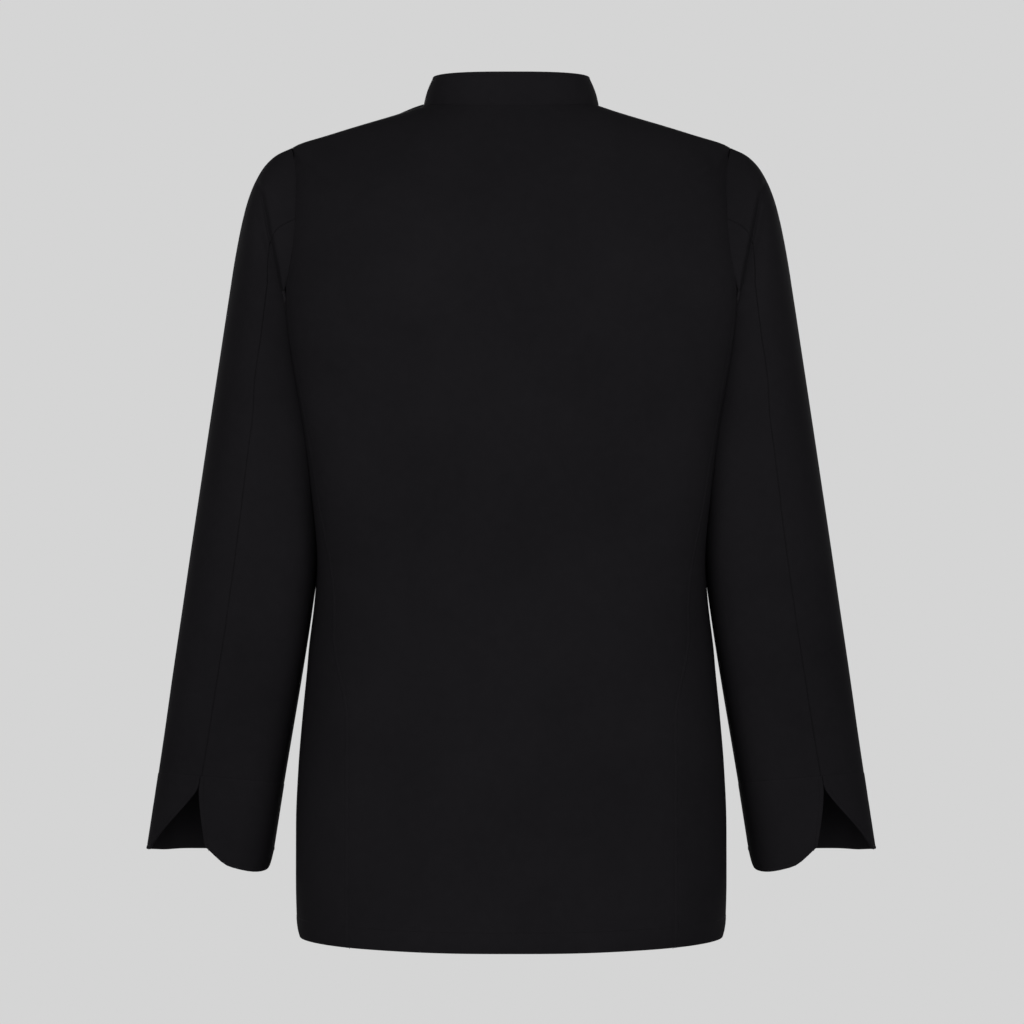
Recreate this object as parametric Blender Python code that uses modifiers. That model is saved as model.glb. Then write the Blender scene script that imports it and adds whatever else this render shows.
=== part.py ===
"""A double-breasted chef jacket, buttoned up and filled out, with its arms hanging.

Metres, +Z up. The front faces -Y and the wearer's left is +X. The origin is in the
middle of the neck opening, level with the shoulder ends of the collar's seam.
Every cloth piece is an open sheet laid through sections of the jacket, thickened inwards.
"""

from collections import namedtuple
import math

import bpy
from mathutils import Vector
import numpy as np

# ---- Cloth and fastenings ----
CLOTH = 0.0013  # doubled twill with its turnings
CUFF_CLOTH = 0.0020
COLLAR_CLOTH = 0.0025
SEAM_GAP = 0.00035
OVERLAP_LIFT = 0.0021  # the over front lies this far out where it crosses the under front
BUTTON_RADIUS = 0.0085
BUTTON_HEIGHT = 0.0036
BUTTON_RIM = 0.0010
BUTTON_SEAT = 0.0006
BUTTON_ROWS = 5
TOP_BUTTON_Z = -0.135
BUTTON_PITCH = 0.088
TOP_BUTTON_X = 0.074
LOW_BUTTON_X = 0.060

# ---- How finely the sheets are laid ----
BACK_COLUMNS = 18
SIDE_COLUMNS = 8
FRONT_COLUMNS = 14
HEM_TO_ARMHOLE_ROWS = 13
ARMHOLE_ROWS = 5
SHOULDER_ROWS = 4
SLEEVE_ROWS = 20
ROWS_NEAR_ROOT = 1.25  # more than 1 lays the sleeve's rows closer together at the armhole
CUFF_COLUMNS = 28
CUFF_ROWS = 4
COLLAR_COLUMNS = 24
COLLAR_ROWS = 3
BUTTON_SIDES = 16

# ---- Sections of the body, from the hem to the neck ----
# Each is closed round the body and may dip between its back, side and front.
# width and arm_tuck: the side stands at width, less what the hanging arm tucks in.
# square: 2 is an ellipse, more is squarer. back_seam and front_seam: the side panel's edges.
Section = namedtuple(
    "Section", "back_z side_z front_z width back_y front_y square arm_tuck back_seam front_seam"
)
BODY = (
    Section(-0.7566, -0.7525, -0.7565, 0.1915, 0.1235, 0.1290, 2.3, 0.000, 0.1470, 0.160),
    Section(-0.7445, -0.741, -0.7445, 0.1942, 0.1255, 0.1310, 2.3, 0.000, 0.1478, 0.161),
    Section(-0.700, -0.700, -0.700, 0.1953, 0.1265, 0.1320, 2.3, 0.000, 0.1480, 0.162),
    Section(-0.650, -0.650, -0.650, 0.1952, 0.1255, 0.1310, 2.3, 0.000, 0.1480, 0.162),
    Section(-0.600, -0.600, -0.600, 0.1931, 0.1225, 0.1285, 2.3, 0.000, 0.1480, 0.162),
    Section(-0.553, -0.553, -0.553, 0.1893, 0.1185, 0.1260, 2.3, 0.000, 0.1478, 0.162),
    Section(-0.500, -0.500, -0.500, 0.1843, 0.1130, 0.1225, 2.3, 0.000, 0.1570, 0.163),
    Section(-0.451, -0.451, -0.451, 0.1815, 0.1085, 0.1200, 2.4, 0.003, 0.1645, 0.166),
    Section(-0.413, -0.413, -0.413, 0.1905, 0.1060, 0.1190, 2.5, 0.016, 0.1689, 0.169),
    Section(-0.372, -0.372, -0.372, 0.2090, 0.1080, 0.1195, 2.7, 0.041, 0.1716, 0.172),
    Section(-0.332, -0.332, -0.332, 0.2170, 0.1125, 0.1215, 2.8, 0.053, 0.1769, 0.177),
    Section(-0.293, -0.293, -0.293, 0.2285, 0.1170, 0.1240, 2.8, 0.068, 0.1830, 0.182),
    Section(-0.257, -0.257, -0.257, 0.2420, 0.1200, 0.1255, 2.8, 0.082, 0.1893, 0.187),
    Section(-0.217, -0.217, -0.217, 0.2600, 0.1215, 0.1260, 2.8, 0.099, 0.1968, 0.192),
    Section(-0.182, -0.167, -0.182, 0.2650, 0.1205, 0.1235, 2.8, 0.090, 0.2025, 0.196),
    Section(-0.152, -0.115, -0.155, 0.2440, 0.1180, 0.1170, 2.7, 0.048, 0.2050, 0.198),
    Section(-0.127, -0.070, -0.136, 0.2170, 0.1150, 0.1090, 2.5, 0.014, 0.2060, 0.198),
    Section(-0.106, -0.0378, -0.120, 0.1990, 0.1115, 0.1010, 2.5, 0.000, 0.2060, 0.198),
    Section(-0.077, -0.0266, -0.105, 0.1667, 0.1050, 0.0915, 2.4, 0.000, 0.2060, 0.198),
    Section(-0.049, -0.0162, -0.091, 0.1330, 0.0940, 0.0825, 2.35, 0.000, 0.2060, 0.198),
    Section(-0.024, -0.0070, -0.078, 0.1010, 0.0795, 0.0740, 2.3, 0.000, 0.2060, 0.198),
    Section(-0.005, 0.0000, -0.068, 0.0795, 0.0660, 0.0665, 2.3, 0.000, 0.2060, 0.198),
)
ARMHOLE_FOOT_ROW = 13  # the section level with the foot of the armhole
SHOULDER_TIP_ROW = 17  # the section through the shoulder tips
TUCK_SPREAD = 18.0  # degrees either side of the arm
ROUNDING = 0.045  # how far up and down the turn over the shoulder is eased
ROUNDED_FROM = 14.0  # degrees from the shoulder's seam at which it is eased in full
EASE_REACH = np.array([-1.0, -0.5, 0.0, 0.5, 1.0])
EASE_WEIGHT = np.array([1, 4, 6, 4, 1]) / 16
ARMHOLE_REACH_BACK = 21.5  # degrees from the side to the armhole's back edge
ARMHOLE_REACH_FRONT = 22.5
ARMHOLE_CORNER = 107.0  # where the side panel's seams meet the armhole, round from its top
FRONT_EDGE_TOP = 0.066  # the over front's edge, from the middle, at the neck
FRONT_EDGE_WIDEST = 0.088
FRONT_EDGE_HEM = 0.075
OVERLAP_RAMP = (0.085, 0.112)  # the over front rises to its lift between these

# ---- Sections of the arm, from the armhole to the wrist ----
# out and into: the section's points furthest from the body and nearest to it.
# bow: how far the section's back and front stand out past the line between those points.
# dip: how far its back hangs below its front, because the forearm comes forward.
ArmSection = namedtuple("ArmSection", "out_x out_z into_x into_z mid_y half_depth bow dip")
ARM = (
    ArmSection(0.1990, -0.0378, 0.1615, -0.2145, 0.001, 0.0750, 0.020, 0.000),
    ArmSection(0.2123, -0.0441, 0.1630, -0.2165, 0.001, 0.0745, 0.0205, 0.000),
    ArmSection(0.2225, -0.0535, 0.1636, -0.2200, 0.001, 0.0730, 0.020, 0.000),
    ArmSection(0.2306, -0.0665, 0.1640, -0.2240, 0.000, 0.0705, 0.019, 0.000),
    ArmSection(0.2375, -0.0835, 0.1642, -0.2290, 0.000, 0.0680, 0.018, 0.000),
    ArmSection(0.2433, -0.1045, 0.1642, -0.2350, 0.000, 0.0660, 0.016, 0.000),
    ArmSection(0.2502, -0.1380, 0.1642, -0.2430, 0.000, 0.0640, 0.0125, 0.000),
    ArmSection(0.2562, -0.1750, 0.1643, -0.2540, 0.000, 0.0630, 0.0085, 0.000),
    ArmSection(0.2640, -0.2260, 0.1646, -0.2720, 0.000, 0.0625, 0.005, 0.001),
    ArmSection(0.2727, -0.2830, 0.1660, -0.3040, 0.000, 0.0620, 0.000, 0.002),
    ArmSection(0.2818, -0.3430, 0.1700, -0.3580, -0.001, 0.0605, 0.000, 0.004),
    ArmSection(0.2905, -0.4000, 0.1755, -0.4160, -0.003, 0.0580, 0.000, 0.005),
    ArmSection(0.2990, -0.4560, 0.1830, -0.4710, -0.007, 0.0550, 0.000, 0.005),
    ArmSection(0.3080, -0.5140, 0.1923, -0.5275, -0.013, 0.0515, 0.000, 0.003),
    ArmSection(0.3165, -0.5700, 0.2018, -0.5810, -0.021, 0.0480, 0.000, 0.000),
    ArmSection(0.3222, -0.6060, 0.2080, -0.6160, -0.026, 0.0460, 0.000, -0.003),
)
ARM_SQUARE = 2.1
BACK_SEAM_ROWS = 2  # armhole rows between the sleeve's back seam and the side panel's
BACK_SEAM_TURN = 75.0  # the sleeve's seams at the wrist, in degrees from its outermost line
FRONT_SEAM_TURN = -112.0
SEAMS_SETTLE = 0.30  # the share of its length at which they reach those turns
ROOT_FADE = 0.24  # the sleeve leaves the armhole's own line within this share of its length
FOLDS_OVER = (80.0, 107.0, 150.0, 180.0)  # turns between which it hangs over the side panel
FOLDED_SHARE = (0.0, 1.0, 1.0, 0.0)
FOLD_LIFT = 0.0024
CLEAR_ABOVE = 0.030  # it is held off the body to this far above the side panel
CLEAR_OF_SIDE = 0.0042  # how near the sleeve comes to the side panel it hangs against
ROOT_RIM = 0.02  # its edge at the armhole stands square to the body's cloth to here
CLEAR_FROM = 0.02  # the share of its length at which it stands that clear
CREASE_DEPTH = 0.006  # the fold where the shoulder's cloth hangs over the top of the sleeve
CREASE_WIDTH = 0.011
CREASE_ENDS = ((0.226, -0.072), (0.209, -0.162))  # x and z of its upper and lower end

# ---- The cuff: round from the vent's outer edge to its inner edge ----
# turn: degrees from the outermost line at the seam, hem_turn: the same at the hem.
CuffEdge = namedtuple("CuffEdge", "turn hem_turn depth")
CUFF = (
    CuffEdge(74.0, 23.0, 0.0716),
    CuffEdge(52.0, 13.0, 0.0718),
    CuffEdge(28.0, 0.0, 0.0719),
    CuffEdge(2.0, -18.0, 0.0719),
    CuffEdge(-28.0, -38.0, 0.0717),
    CuffEdge(-58.0, -63.0, 0.0690),
    CuffEdge(-90.0, -92.0, 0.0668),
    CuffEdge(-120.0, -120.0, 0.0655),
    CuffEdge(-150.0, -148.0, 0.0640),
    CuffEdge(-174.0, -172.0, 0.0634),
    CuffEdge(-194.0, -190.0, 0.0720),
    CuffEdge(-212.0, -207.5, 0.0807),
    CuffEdge(-236.0, -228.0, 0.0838),
    CuffEdge(-260.0, -247.0, 0.0812),
    CuffEdge(-286.0, -271.8, 0.0645),
)
VENT_TOP = 0.0125  # the cuff's two ends meet down to here
VENT_CURVE = 1.3  # its two sides bow apart a little
CUFF_LEAN = (0.160, -0.135, -0.978)  # the way the forearm points

# ---- The collar: its top edge ----
COLLAR_TOP = Section(0.0262, 0.0256, -0.031, 0.0707, 0.0585, 0.0600, 2.7, 0.0, 0.0, 0.0)
COLLAR_HEIGHT = 0.034
COLLAR_SEAT = 0.0006
COLLAR_SWELL = 0.0012
COLLAR_END_GAP = 0.004
COLLAR_CORNER = 0.012
MIRROR_X = np.array([-1.0, 1.0, 1.0])


def smooth_between(stations, values, at):
    """A curve through every value that never overshoots one."""
    steps = np.diff(stations)
    slopes = np.diff(values) / steps
    same_way = slopes[1:] * slopes[:-1] > 0
    both = np.where(same_way, slopes[1:] + slopes[:-1], 1.0)
    inner = np.where(same_way, 2 * slopes[1:] * slopes[:-1] / both, 0.0)
    tangents = np.concatenate([slopes[:1], inner, slopes[-1:]])
    index = np.clip(np.searchsorted(stations, at, side="right") - 1, 0, len(steps) - 1)
    step = steps[index]
    share = (at - stations[index]) / step
    rise = values[index + 1] - values[index]
    ease = share * share * (3 - 2 * share)
    out = share * (1 - share) ** 2 * step * tangents[index]
    back = share * share * (share - 1) * step * tangents[index + 1]
    return values[index] + rise * ease + out + back


def column(table, name):
    return np.array([getattr(row, name) for row in table])


def body_stations():
    """How far up the body each section lies, averaged over its back, side and front."""
    back = np.stack([column(BODY, "back_y"), column(BODY, "back_z")])
    side = np.stack([column(BODY, "width") - column(BODY, "arm_tuck"), column(BODY, "side_z")])
    front = np.stack([column(BODY, "front_y"), column(BODY, "front_z")])
    steps = sum(np.hypot(*np.diff(line)) for line in (back, side, front)) / 3
    return np.concatenate([[0.0], np.cumsum(steps)])


STATIONS = body_stations()
ARMHOLE_FOOT = STATIONS[ARMHOLE_FOOT_ROW]
SHOULDER_TIP = STATIONS[SHOULDER_TIP_ROW]
NECK = STATIONS[-1]


def section_point(size, angle):
    """Points of a section, by the angle from the centre back towards the wearer's left."""
    turn = np.radians(angle)
    across = np.abs(np.sin(turn))
    along = np.abs(np.cos(turn))
    behind = np.cos(turn) >= 0
    depth = np.where(behind, size("back_y"), size("front_y"))
    power = size("square")
    reach = ((across / size("width")) ** power + (along / depth) ** power) ** (-1 / power)
    from_side = np.degrees(np.arcsin(np.clip(along, 0, 1)))
    reach = reach - size("arm_tuck") * np.exp(-((from_side / TUCK_SPREAD) ** 2))
    end_z = np.where(behind, size("back_z"), size("front_z"))
    z = size("side_z") + (end_z - size("side_z")) * (reach * along / depth) ** 2
    return np.stack([reach * np.sin(turn), reach * np.cos(turn), z], axis=-1)


def body_point(angle, station):
    """Points of the body: its sections, eased into each other away from its sides."""
    angle, station = np.broadcast_arrays(angle, station)

    def point_at(level):
        return section_point(lambda name: smooth_between(STATIONS, column(BODY, name), level), angle)

    from_side = np.degrees(np.arcsin(np.clip(np.abs(np.cos(np.radians(angle))), 0, 1)))
    room = np.minimum(station, NECK - station)
    ease = np.minimum(ROUNDING * np.clip(from_side / ROUNDED_FROM, 0, 1), np.clip(room, 0, None))
    return sum(
        weight * point_at(station + reach * ease) for reach, weight in zip(EASE_REACH, EASE_WEIGHT)
    )


def seam_angle(station, name, start, end):
    """The angle at which a section reaches the x of the seam in the named column."""
    wanted = smooth_between(STATIONS, column(BODY, name), np.array([station]))[0]
    angles = np.linspace(start, end, 400)
    reached = np.maximum.accumulate(np.abs(body_point(angles, station)[:, 0]))
    return float(np.interp(wanted, reached, angles))


def armhole(turn):
    """The armhole's angle and station, by the turn from its top towards the back."""
    turn = np.radians(turn)
    reach = np.where(np.sin(turn) >= 0, ARMHOLE_REACH_BACK, ARMHOLE_REACH_FRONT)
    middle = (ARMHOLE_FOOT + SHOULDER_TIP) / 2
    half = (SHOULDER_TIP - ARMHOLE_FOOT) / 2
    return 90 - reach * np.sin(turn), middle + half * np.cos(turn)


def panel_edge(station, side):
    """A panel's edge angle: side seam, armhole, then shoulder seam. The back's side is 1."""
    corner_angle, corner = armhole(side * ARMHOLE_CORNER)
    if station >= SHOULDER_TIP:
        return 90.0
    if station > corner:
        middle = (ARMHOLE_FOOT + SHOULDER_TIP) / 2
        half = (SHOULDER_TIP - ARMHOLE_FOOT) / 2
        turn = math.degrees(math.acos((station - middle) / half))
        return float(armhole(side * turn)[0])
    seam = "back_seam" if side > 0 else "front_seam"
    below = seam_angle(station, seam, 90 - 85 * side, 90 - 21.5 * side)
    near = np.clip((station - ARMHOLE_FOOT) / (corner - ARMHOLE_FOOT), 0, 1)
    return float(below + (corner_angle - below) * near)


def panel_stations():
    """Rows of a back or front panel: to the armhole, round it, and over the shoulder."""
    turns = np.linspace(ARMHOLE_CORNER, 0, ARMHOLE_ROWS + 1)
    corner, *beside = armhole(turns)[1]
    low = np.linspace(0, 1, HEM_TO_ARMHOLE_ROWS + 1) * corner
    above = np.linspace(SHOULDER_TIP, NECK, SHOULDER_ROWS + 1)[1:]
    return np.concatenate([low, beside, above])


def inset(points):
    """Moves a grid's first and last columns in by half a seam gap."""
    points = points.copy()
    for edge, beside in ((0, 1), (-1, -2)):
        way = points[:, beside] - points[:, edge]
        way /= np.linalg.norm(way, axis=1, keepdims=True)
        points[:, edge] += way * SEAM_GAP / 2
    return points


def back_panel_sheet():
    stations = panel_stations()
    share = np.linspace(-1, 1, BACK_COLUMNS + 1)
    edges = np.array([panel_edge(station, 1) for station in stations])
    angles = edges[:, None] * share
    return inset(body_point(angles, stations[:, None])), outward(angles, stations[:, None])


def side_panel_sheet():
    """The wearer's left side panel: its upper edge is the foot of the armhole."""
    turns = np.linspace(ARMHOLE_CORNER, 360 - ARMHOLE_CORNER, SIDE_COLUMNS + 1)
    top_angles, tops = armhole(turns)
    rows = np.linspace(0, 1, HEM_TO_ARMHOLE_ROWS + 1)
    share = np.linspace(0, 1, SIDE_COLUMNS + 1)

    def across(stations):
        first = np.array([panel_edge(min(s, tops[0]), 1) for s in stations])
        last = np.array([panel_edge(min(s, tops[-1]), -1) for s in stations])
        return first + (last - first) * share

    to_armhole = top_angles - across(tops)
    points = []
    normals = []
    for row in rows:
        stations = tops * row
        near = np.clip((row - 0.8) / 0.2, 0, 1)
        angles = across(stations) + to_armhole * near
        points.append(body_point(angles, stations))
        normals.append(outward(angles, stations))
    return inset(np.array(points)), np.array(normals)


def front_edge_x(station):
    """How far past the middle the front's free edge lies."""
    widest = STATIONS[-1] - 0.09
    stations = np.array([0.0, widest, NECK])
    widths = np.array([FRONT_EDGE_HEM, FRONT_EDGE_WIDEST, FRONT_EDGE_TOP])
    return float(smooth_between(stations, widths, np.array([station]))[0])


def free_edge_angle(station):
    """The angle past the centre front at which a section reaches the free edge's x."""
    angles = np.linspace(180, 262, 400)
    reached = np.abs(body_point(angles, station)[:, 0])
    return float(np.interp(front_edge_x(station), reached, angles))


def front_sheet(lift):
    """The wearer's left front, out to its free edge. A lift raises it over the other front."""
    stations = panel_stations()
    share = np.linspace(0, 1, FRONT_COLUMNS + 1)
    starts = np.array([panel_edge(station, -1) for station in stations])
    ends = np.array([free_edge_angle(station) for station in stations])
    angles = starts[:, None] + (ends - starts)[:, None] * share
    points = body_point(angles, stations[:, None])
    ramp_in, ramp_out = OVERLAP_RAMP
    raised = np.clip((ramp_out - points[..., 0]) / (ramp_out - ramp_in), 0, 1)
    raised = raised * raised * (3 - 2 * raised)
    normals = outward(angles, stations[:, None])
    return inset(points + normals * (lift * raised)[..., None]), normals


def unit(vectors):
    return vectors / np.linalg.norm(vectors, axis=-1, keepdims=True)


def outward(angle, station):
    """The body's outward direction."""
    small = 0.05
    step = 0.0005
    angle, station = np.broadcast_arrays(angle, station)
    low = np.clip(station - step, 0, NECK)
    high = np.clip(station + step, 0, NECK)
    round_body = body_point(angle + small, station) - body_point(angle - small, station)
    up_body = body_point(angle, high) - body_point(angle, low)
    return unit(np.cross(up_body, round_body))


# ---- The arm ----
def arm_point(turn, share):
    """Points of the left sleeve's tube, by the turn from its outermost line to the back."""
    turn, share = np.broadcast_arrays(turn, share)
    rows = np.linspace(0, 1, len(ARM))

    def size(name):
        return smooth_between(rows, column(ARM, name), share)

    angle = np.radians(turn)
    along = np.sign(np.cos(angle)) * np.abs(np.cos(angle)) ** (2 / ARM_SQUARE)
    aside = np.sign(np.sin(angle)) * np.abs(np.sin(angle)) ** (2 / ARM_SQUARE)
    mid_x = (size("out_x") + size("into_x")) / 2
    mid_z = (size("out_z") + size("into_z")) / 2
    x = mid_x + (size("out_x") - mid_x) * along + size("bow") * aside**2
    y = size("mid_y") + size("half_depth") * aside
    z = mid_z + (size("out_z") - mid_z) * along - size("dip") * aside
    return np.stack([x, y, z], axis=-1)


def crease(points):
    """How far the fold under the shoulder's overhang sinks at each point of the sleeve."""
    top, foot = (np.array(end) for end in CREASE_ENDS)
    run = foot - top
    flat = points[..., [0, 2]] - top
    along = (flat @ run) / (run @ run)
    way_out = np.array([-run[1], run[0]]) / np.linalg.norm(run)
    beyond = flat @ way_out
    beside = np.exp(-((beyond / CREASE_WIDTH) ** 2))
    ends = np.exp(-((np.clip(np.abs(along - 0.5) - 0.35, 0, None) / 0.3) ** 2))
    return CREASE_DEPTH * beside * ends


def sleeve_point(turn, share):
    """The sleeve: from the armhole's own line on to the arm's sections."""
    turn, share = np.broadcast_arrays(turn, share)
    angle, station = armhole(turn)
    from_top = np.abs((turn + 180) % 360 - 180)
    over = FOLD_LIFT * np.interp(from_top, FOLDS_OVER, FOLDED_SHARE)
    seam = body_point(angle, station) + outward(angle, station) * over[..., None]
    seam = seam + np.array([SEAM_GAP, 0, 0])
    fade = np.clip(1 - share / ROOT_FADE, 0, 1)[..., None] ** 2
    points = arm_point(turn, share) + (seam - arm_point(turn, np.zeros_like(share))) * fade
    side = np.sign(points[..., 1])
    sunk = crease(points) * np.clip(np.abs(np.sin(np.radians(turn))), 0, 1) * (1 - fade[..., 0])
    points[..., 1] -= side * sunk
    return clear_of_body(points, share)


def clear_of_body(points, share):
    """Holds the sleeve off the side panel, as the arm presses it there."""
    angle = np.degrees(np.arctan2(points[..., 0], points[..., 1]))
    from_side = np.clip((90 - angle) / ARMHOLE_REACH_BACK, -1, 1)
    foot_turn = 180 - np.degrees(np.arcsin(from_side))
    top = armhole(foot_turn)[1] + CLEAR_ABOVE
    levels = np.linspace(0, 1, 60)
    heights = body_point(angle[..., None], top[..., None] * levels)[..., 2]
    above = (heights < points[..., 2, None]).sum(axis=-1)
    beside = above < len(levels)
    low = np.clip(above - 1, 0, len(levels) - 2)
    low_z = np.take_along_axis(heights, low[..., None], axis=-1)[..., 0]
    high_z = np.take_along_axis(heights, low[..., None] + 1, axis=-1)[..., 0]
    part = np.clip((points[..., 2] - low_z) / (high_z - low_z), 0, 1)
    station = top * (low + part) / (len(levels) - 1)
    skin = body_point(angle, station)
    body_reach = np.hypot(skin[..., 0], skin[..., 1])
    reach = np.hypot(points[..., 0], points[..., 1])
    clear = SEAM_GAP + (CLEAR_OF_SIDE - SEAM_GAP) * np.clip(share / CLEAR_FROM, 0, 1)
    short = np.where(beside, np.clip(body_reach + clear - reach, 0, None), 0)
    points[..., :2] *= (1 + short / reach)[..., None]
    return points


def sleeve_outward(turn, share):
    """The sleeve's outward direction, which starts as the body's where it carries that on."""
    small_turn = 0.2
    small_share = 0.002
    low = np.clip(share - small_share, 0, 1)
    high = np.clip(share + small_share, 0, 1)
    round_arm = sleeve_point(turn + small_turn, share) - sleeve_point(turn - small_turn, share)
    down_arm = sleeve_point(turn, high) - sleeve_point(turn, low)
    normal = unit(np.cross(down_arm, round_arm))
    body_normal = outward(*armhole(turn))
    alike = np.clip((normal * body_normal).sum(axis=-1, keepdims=True), 0, 1)
    start = np.clip(1 - share / ROOT_RIM, 0, 1)[..., None]
    return unit(normal + (body_normal - normal) * alike * start)


def sleeve_sheet(root_turns, wrist_start, wrist_end):
    """Part of the left sleeve. Its columns start at the corners of the armhole's edge."""
    wrist_turns = np.linspace(wrist_start, wrist_end, len(root_turns))
    shares = np.linspace(0, 1, SLEEVE_ROWS + 1)[:, None] ** ROWS_NEAR_ROOT
    settled = np.clip(shares / SEAMS_SETTLE, 0, 1)
    turns = root_turns + (wrist_turns - root_turns) * settled
    shares = np.broadcast_to(shares, turns.shape)
    return inset(sleeve_point(turns, shares)), sleeve_outward(turns, shares)


def upper_sleeve_sheet():
    """Over the arm, from the armhole's front corner to the sleeve's back seam."""
    round_top = np.linspace(-ARMHOLE_CORNER, ARMHOLE_CORNER, 2 * ARMHOLE_ROWS + 1)
    return sleeve_sheet(round_top[:-BACK_SEAM_ROWS], FRONT_SEAM_TURN, BACK_SEAM_TURN)


def under_sleeve_sheet():
    """Under the arm, from the sleeve's back seam to the armhole's front corner."""
    seam = ARMHOLE_CORNER * (1 - BACK_SEAM_ROWS / ARMHOLE_ROWS)
    beside = np.linspace(seam, ARMHOLE_CORNER, BACK_SEAM_ROWS + 1)[:-1]
    round_foot = np.linspace(ARMHOLE_CORNER, 360 - ARMHOLE_CORNER, SIDE_COLUMNS + 1)
    root_turns = np.concatenate([beside, round_foot])
    return sleeve_sheet(root_turns, BACK_SEAM_TURN, 360 + FRONT_SEAM_TURN)


# ---- The cuff ----
def cuff_sheet():
    """The left cuff, from the vent's outer edge round the front to its inner edge."""
    lean = unit(np.array(CUFF_LEAN))
    rows = np.linspace(0, 1, len(CUFF))
    around = np.linspace(1, 0, CUFF_COLUMNS + 1)
    turn = smooth_between(rows, column(CUFF, "turn"), around)
    hem_turn = smooth_between(rows, column(CUFF, "hem_turn"), around)
    depth = smooth_between(rows, column(CUFF, "depth"), around)
    points = []
    normals = []
    for drop in np.linspace(0, 1, CUFF_ROWS + 1):
        down = drop * depth
        spread = np.clip((down - VENT_TOP) / (depth - VENT_TOP), 0, 1) ** VENT_CURVE
        turns = turn + (hem_turn - turn) * spread
        wrist = np.ones_like(turns)
        points.append(sleeve_point(turns, wrist) + lean * (down + SEAM_GAP)[:, None])
        normals.append(sleeve_outward(turns, wrist))
    return inset(np.array(points)), np.array(normals)


# ---- The collar ----
def ring_of(section, angles):
    return section_point(lambda name: np.float64(getattr(section, name)), angles)


def collar_sheet():
    """The collar, from its end on the wearer's right round the back to the other end."""
    foot_size = BODY[-1]
    points = []
    normals = []
    for rise in np.linspace(0, 1, COLLAR_ROWS + 1):
        corner = max(0.0, COLLAR_HEIGHT * rise - (COLLAR_HEIGHT - COLLAR_CORNER))
        end_in = COLLAR_END_GAP / 2 + COLLAR_CORNER - math.sqrt(COLLAR_CORNER**2 - corner**2)
        last = 180 - math.degrees(end_in / foot_size.front_y)
        angles = np.linspace(-last, last, COLLAR_COLUMNS + 1)
        foot = ring_of(foot_size, angles) + np.array([0, 0, COLLAR_SEAT])
        top = ring_of(COLLAR_TOP, angles)
        ring = foot + (top - foot) * rise
        round_neck = ring_of(COLLAR_TOP, angles + 0.5) - ring_of(COLLAR_TOP, angles - 0.5)
        normals.append(unit(np.cross(top - foot, round_neck)))
        points.append(ring + normals[-1] * COLLAR_SWELL * math.sin(math.pi * rise))
    return np.array(points), np.array(normals)


# ---- Making the objects ----
def clear_scene():
    for obj in list(bpy.data.objects):
        bpy.data.objects.remove(obj, do_unlink=True)


def cloth_material(name, colour, roughness):
    material = bpy.data.materials.new(name)
    material.use_nodes = True
    shader = material.node_tree.nodes["Principled BSDF"]
    shader.inputs["Base Color"].default_value = (*colour, 1)
    shader.inputs["Roughness"].default_value = roughness
    shader.inputs["Metallic"].default_value = 0.0
    return material


def halves(a, b, c, d, across):
    """Each four-cornered face as two triangles, cut from a to c where across says so."""
    first = np.where(across[..., None], np.stack([a, b, c], -1), np.stack([a, b, d], -1))
    second = np.where(across[..., None], np.stack([a, c, d], -1), np.stack([b, c, d], -1))
    return np.concatenate([first.reshape(-1, 3), second.reshape(-1, 3)])


def wall_mesh(name, outside, inside):
    """A closed wall between two grids of points, which meet round their four edges."""
    rows, columns = outside.shape[:2]
    outer = np.arange(rows * columns).reshape(rows, columns)
    a, b, c, d = outer[:-1, :-1], outer[1:, :-1], outer[1:, 1:], outer[:-1, 1:]
    a_to_c = np.linalg.norm(outside[:-1, :-1] - outside[1:, 1:], axis=-1)
    b_to_d = np.linalg.norm(outside[1:, :-1] - outside[:-1, 1:], axis=-1)
    across = a_to_c < b_to_d
    skin = halves(a, b, c, d, across)
    underside = skin[:, ::-1] + rows * columns
    rims = []
    for edge in (outer[0], outer[:, -1], outer[-1, ::-1], outer[::-1, 0]):
        low, high = edge[:-1], edge[1:]
        under_low, under_high = low + rows * columns, high + rows * columns
        rims.append(halves(low, high, under_high, under_low, np.ones(len(low), bool)))
    faces = np.concatenate([skin, underside, *rims])
    points = np.concatenate([outside.reshape(-1, 3), inside.reshape(-1, 3)])
    mesh = bpy.data.meshes.new(name)
    mesh.from_pydata(points.tolist(), [], faces.tolist())
    mesh.shade_smooth()
    mesh.set_sharp_from_angle(angle=math.radians(60))
    return mesh


def cloth_piece(name, sheet, thickness, material, collection, mirror=False):
    """A wall of cloth: a sheet's points and the same points moved in by its thickness."""
    outside, normals = sheet
    inside = outside - normals * thickness
    if mirror:
        outside = outside[:, ::-1] * MIRROR_X
        inside = inside[:, ::-1] * MIRROR_X
    mesh = wall_mesh(name, outside, inside)
    mesh.materials.append(material)
    piece = bpy.data.objects.new(name, mesh)
    collection.objects.link(piece)
    return piece


def on_front(x, z):
    """The angle and station of the point on the body's front at this x and z."""
    angles = np.linspace(120, 240, 241)
    stations = np.linspace(0, NECK, 400)
    angle = 180.0
    for _ in range(4):
        heights = body_point(angle, stations)[:, 2]
        station = float(np.interp(z, heights, stations))
        angle = float(np.interp(-x, -body_point(angles, station)[:, 0], angles))
    return np.array([angle]), np.array([station])


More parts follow.
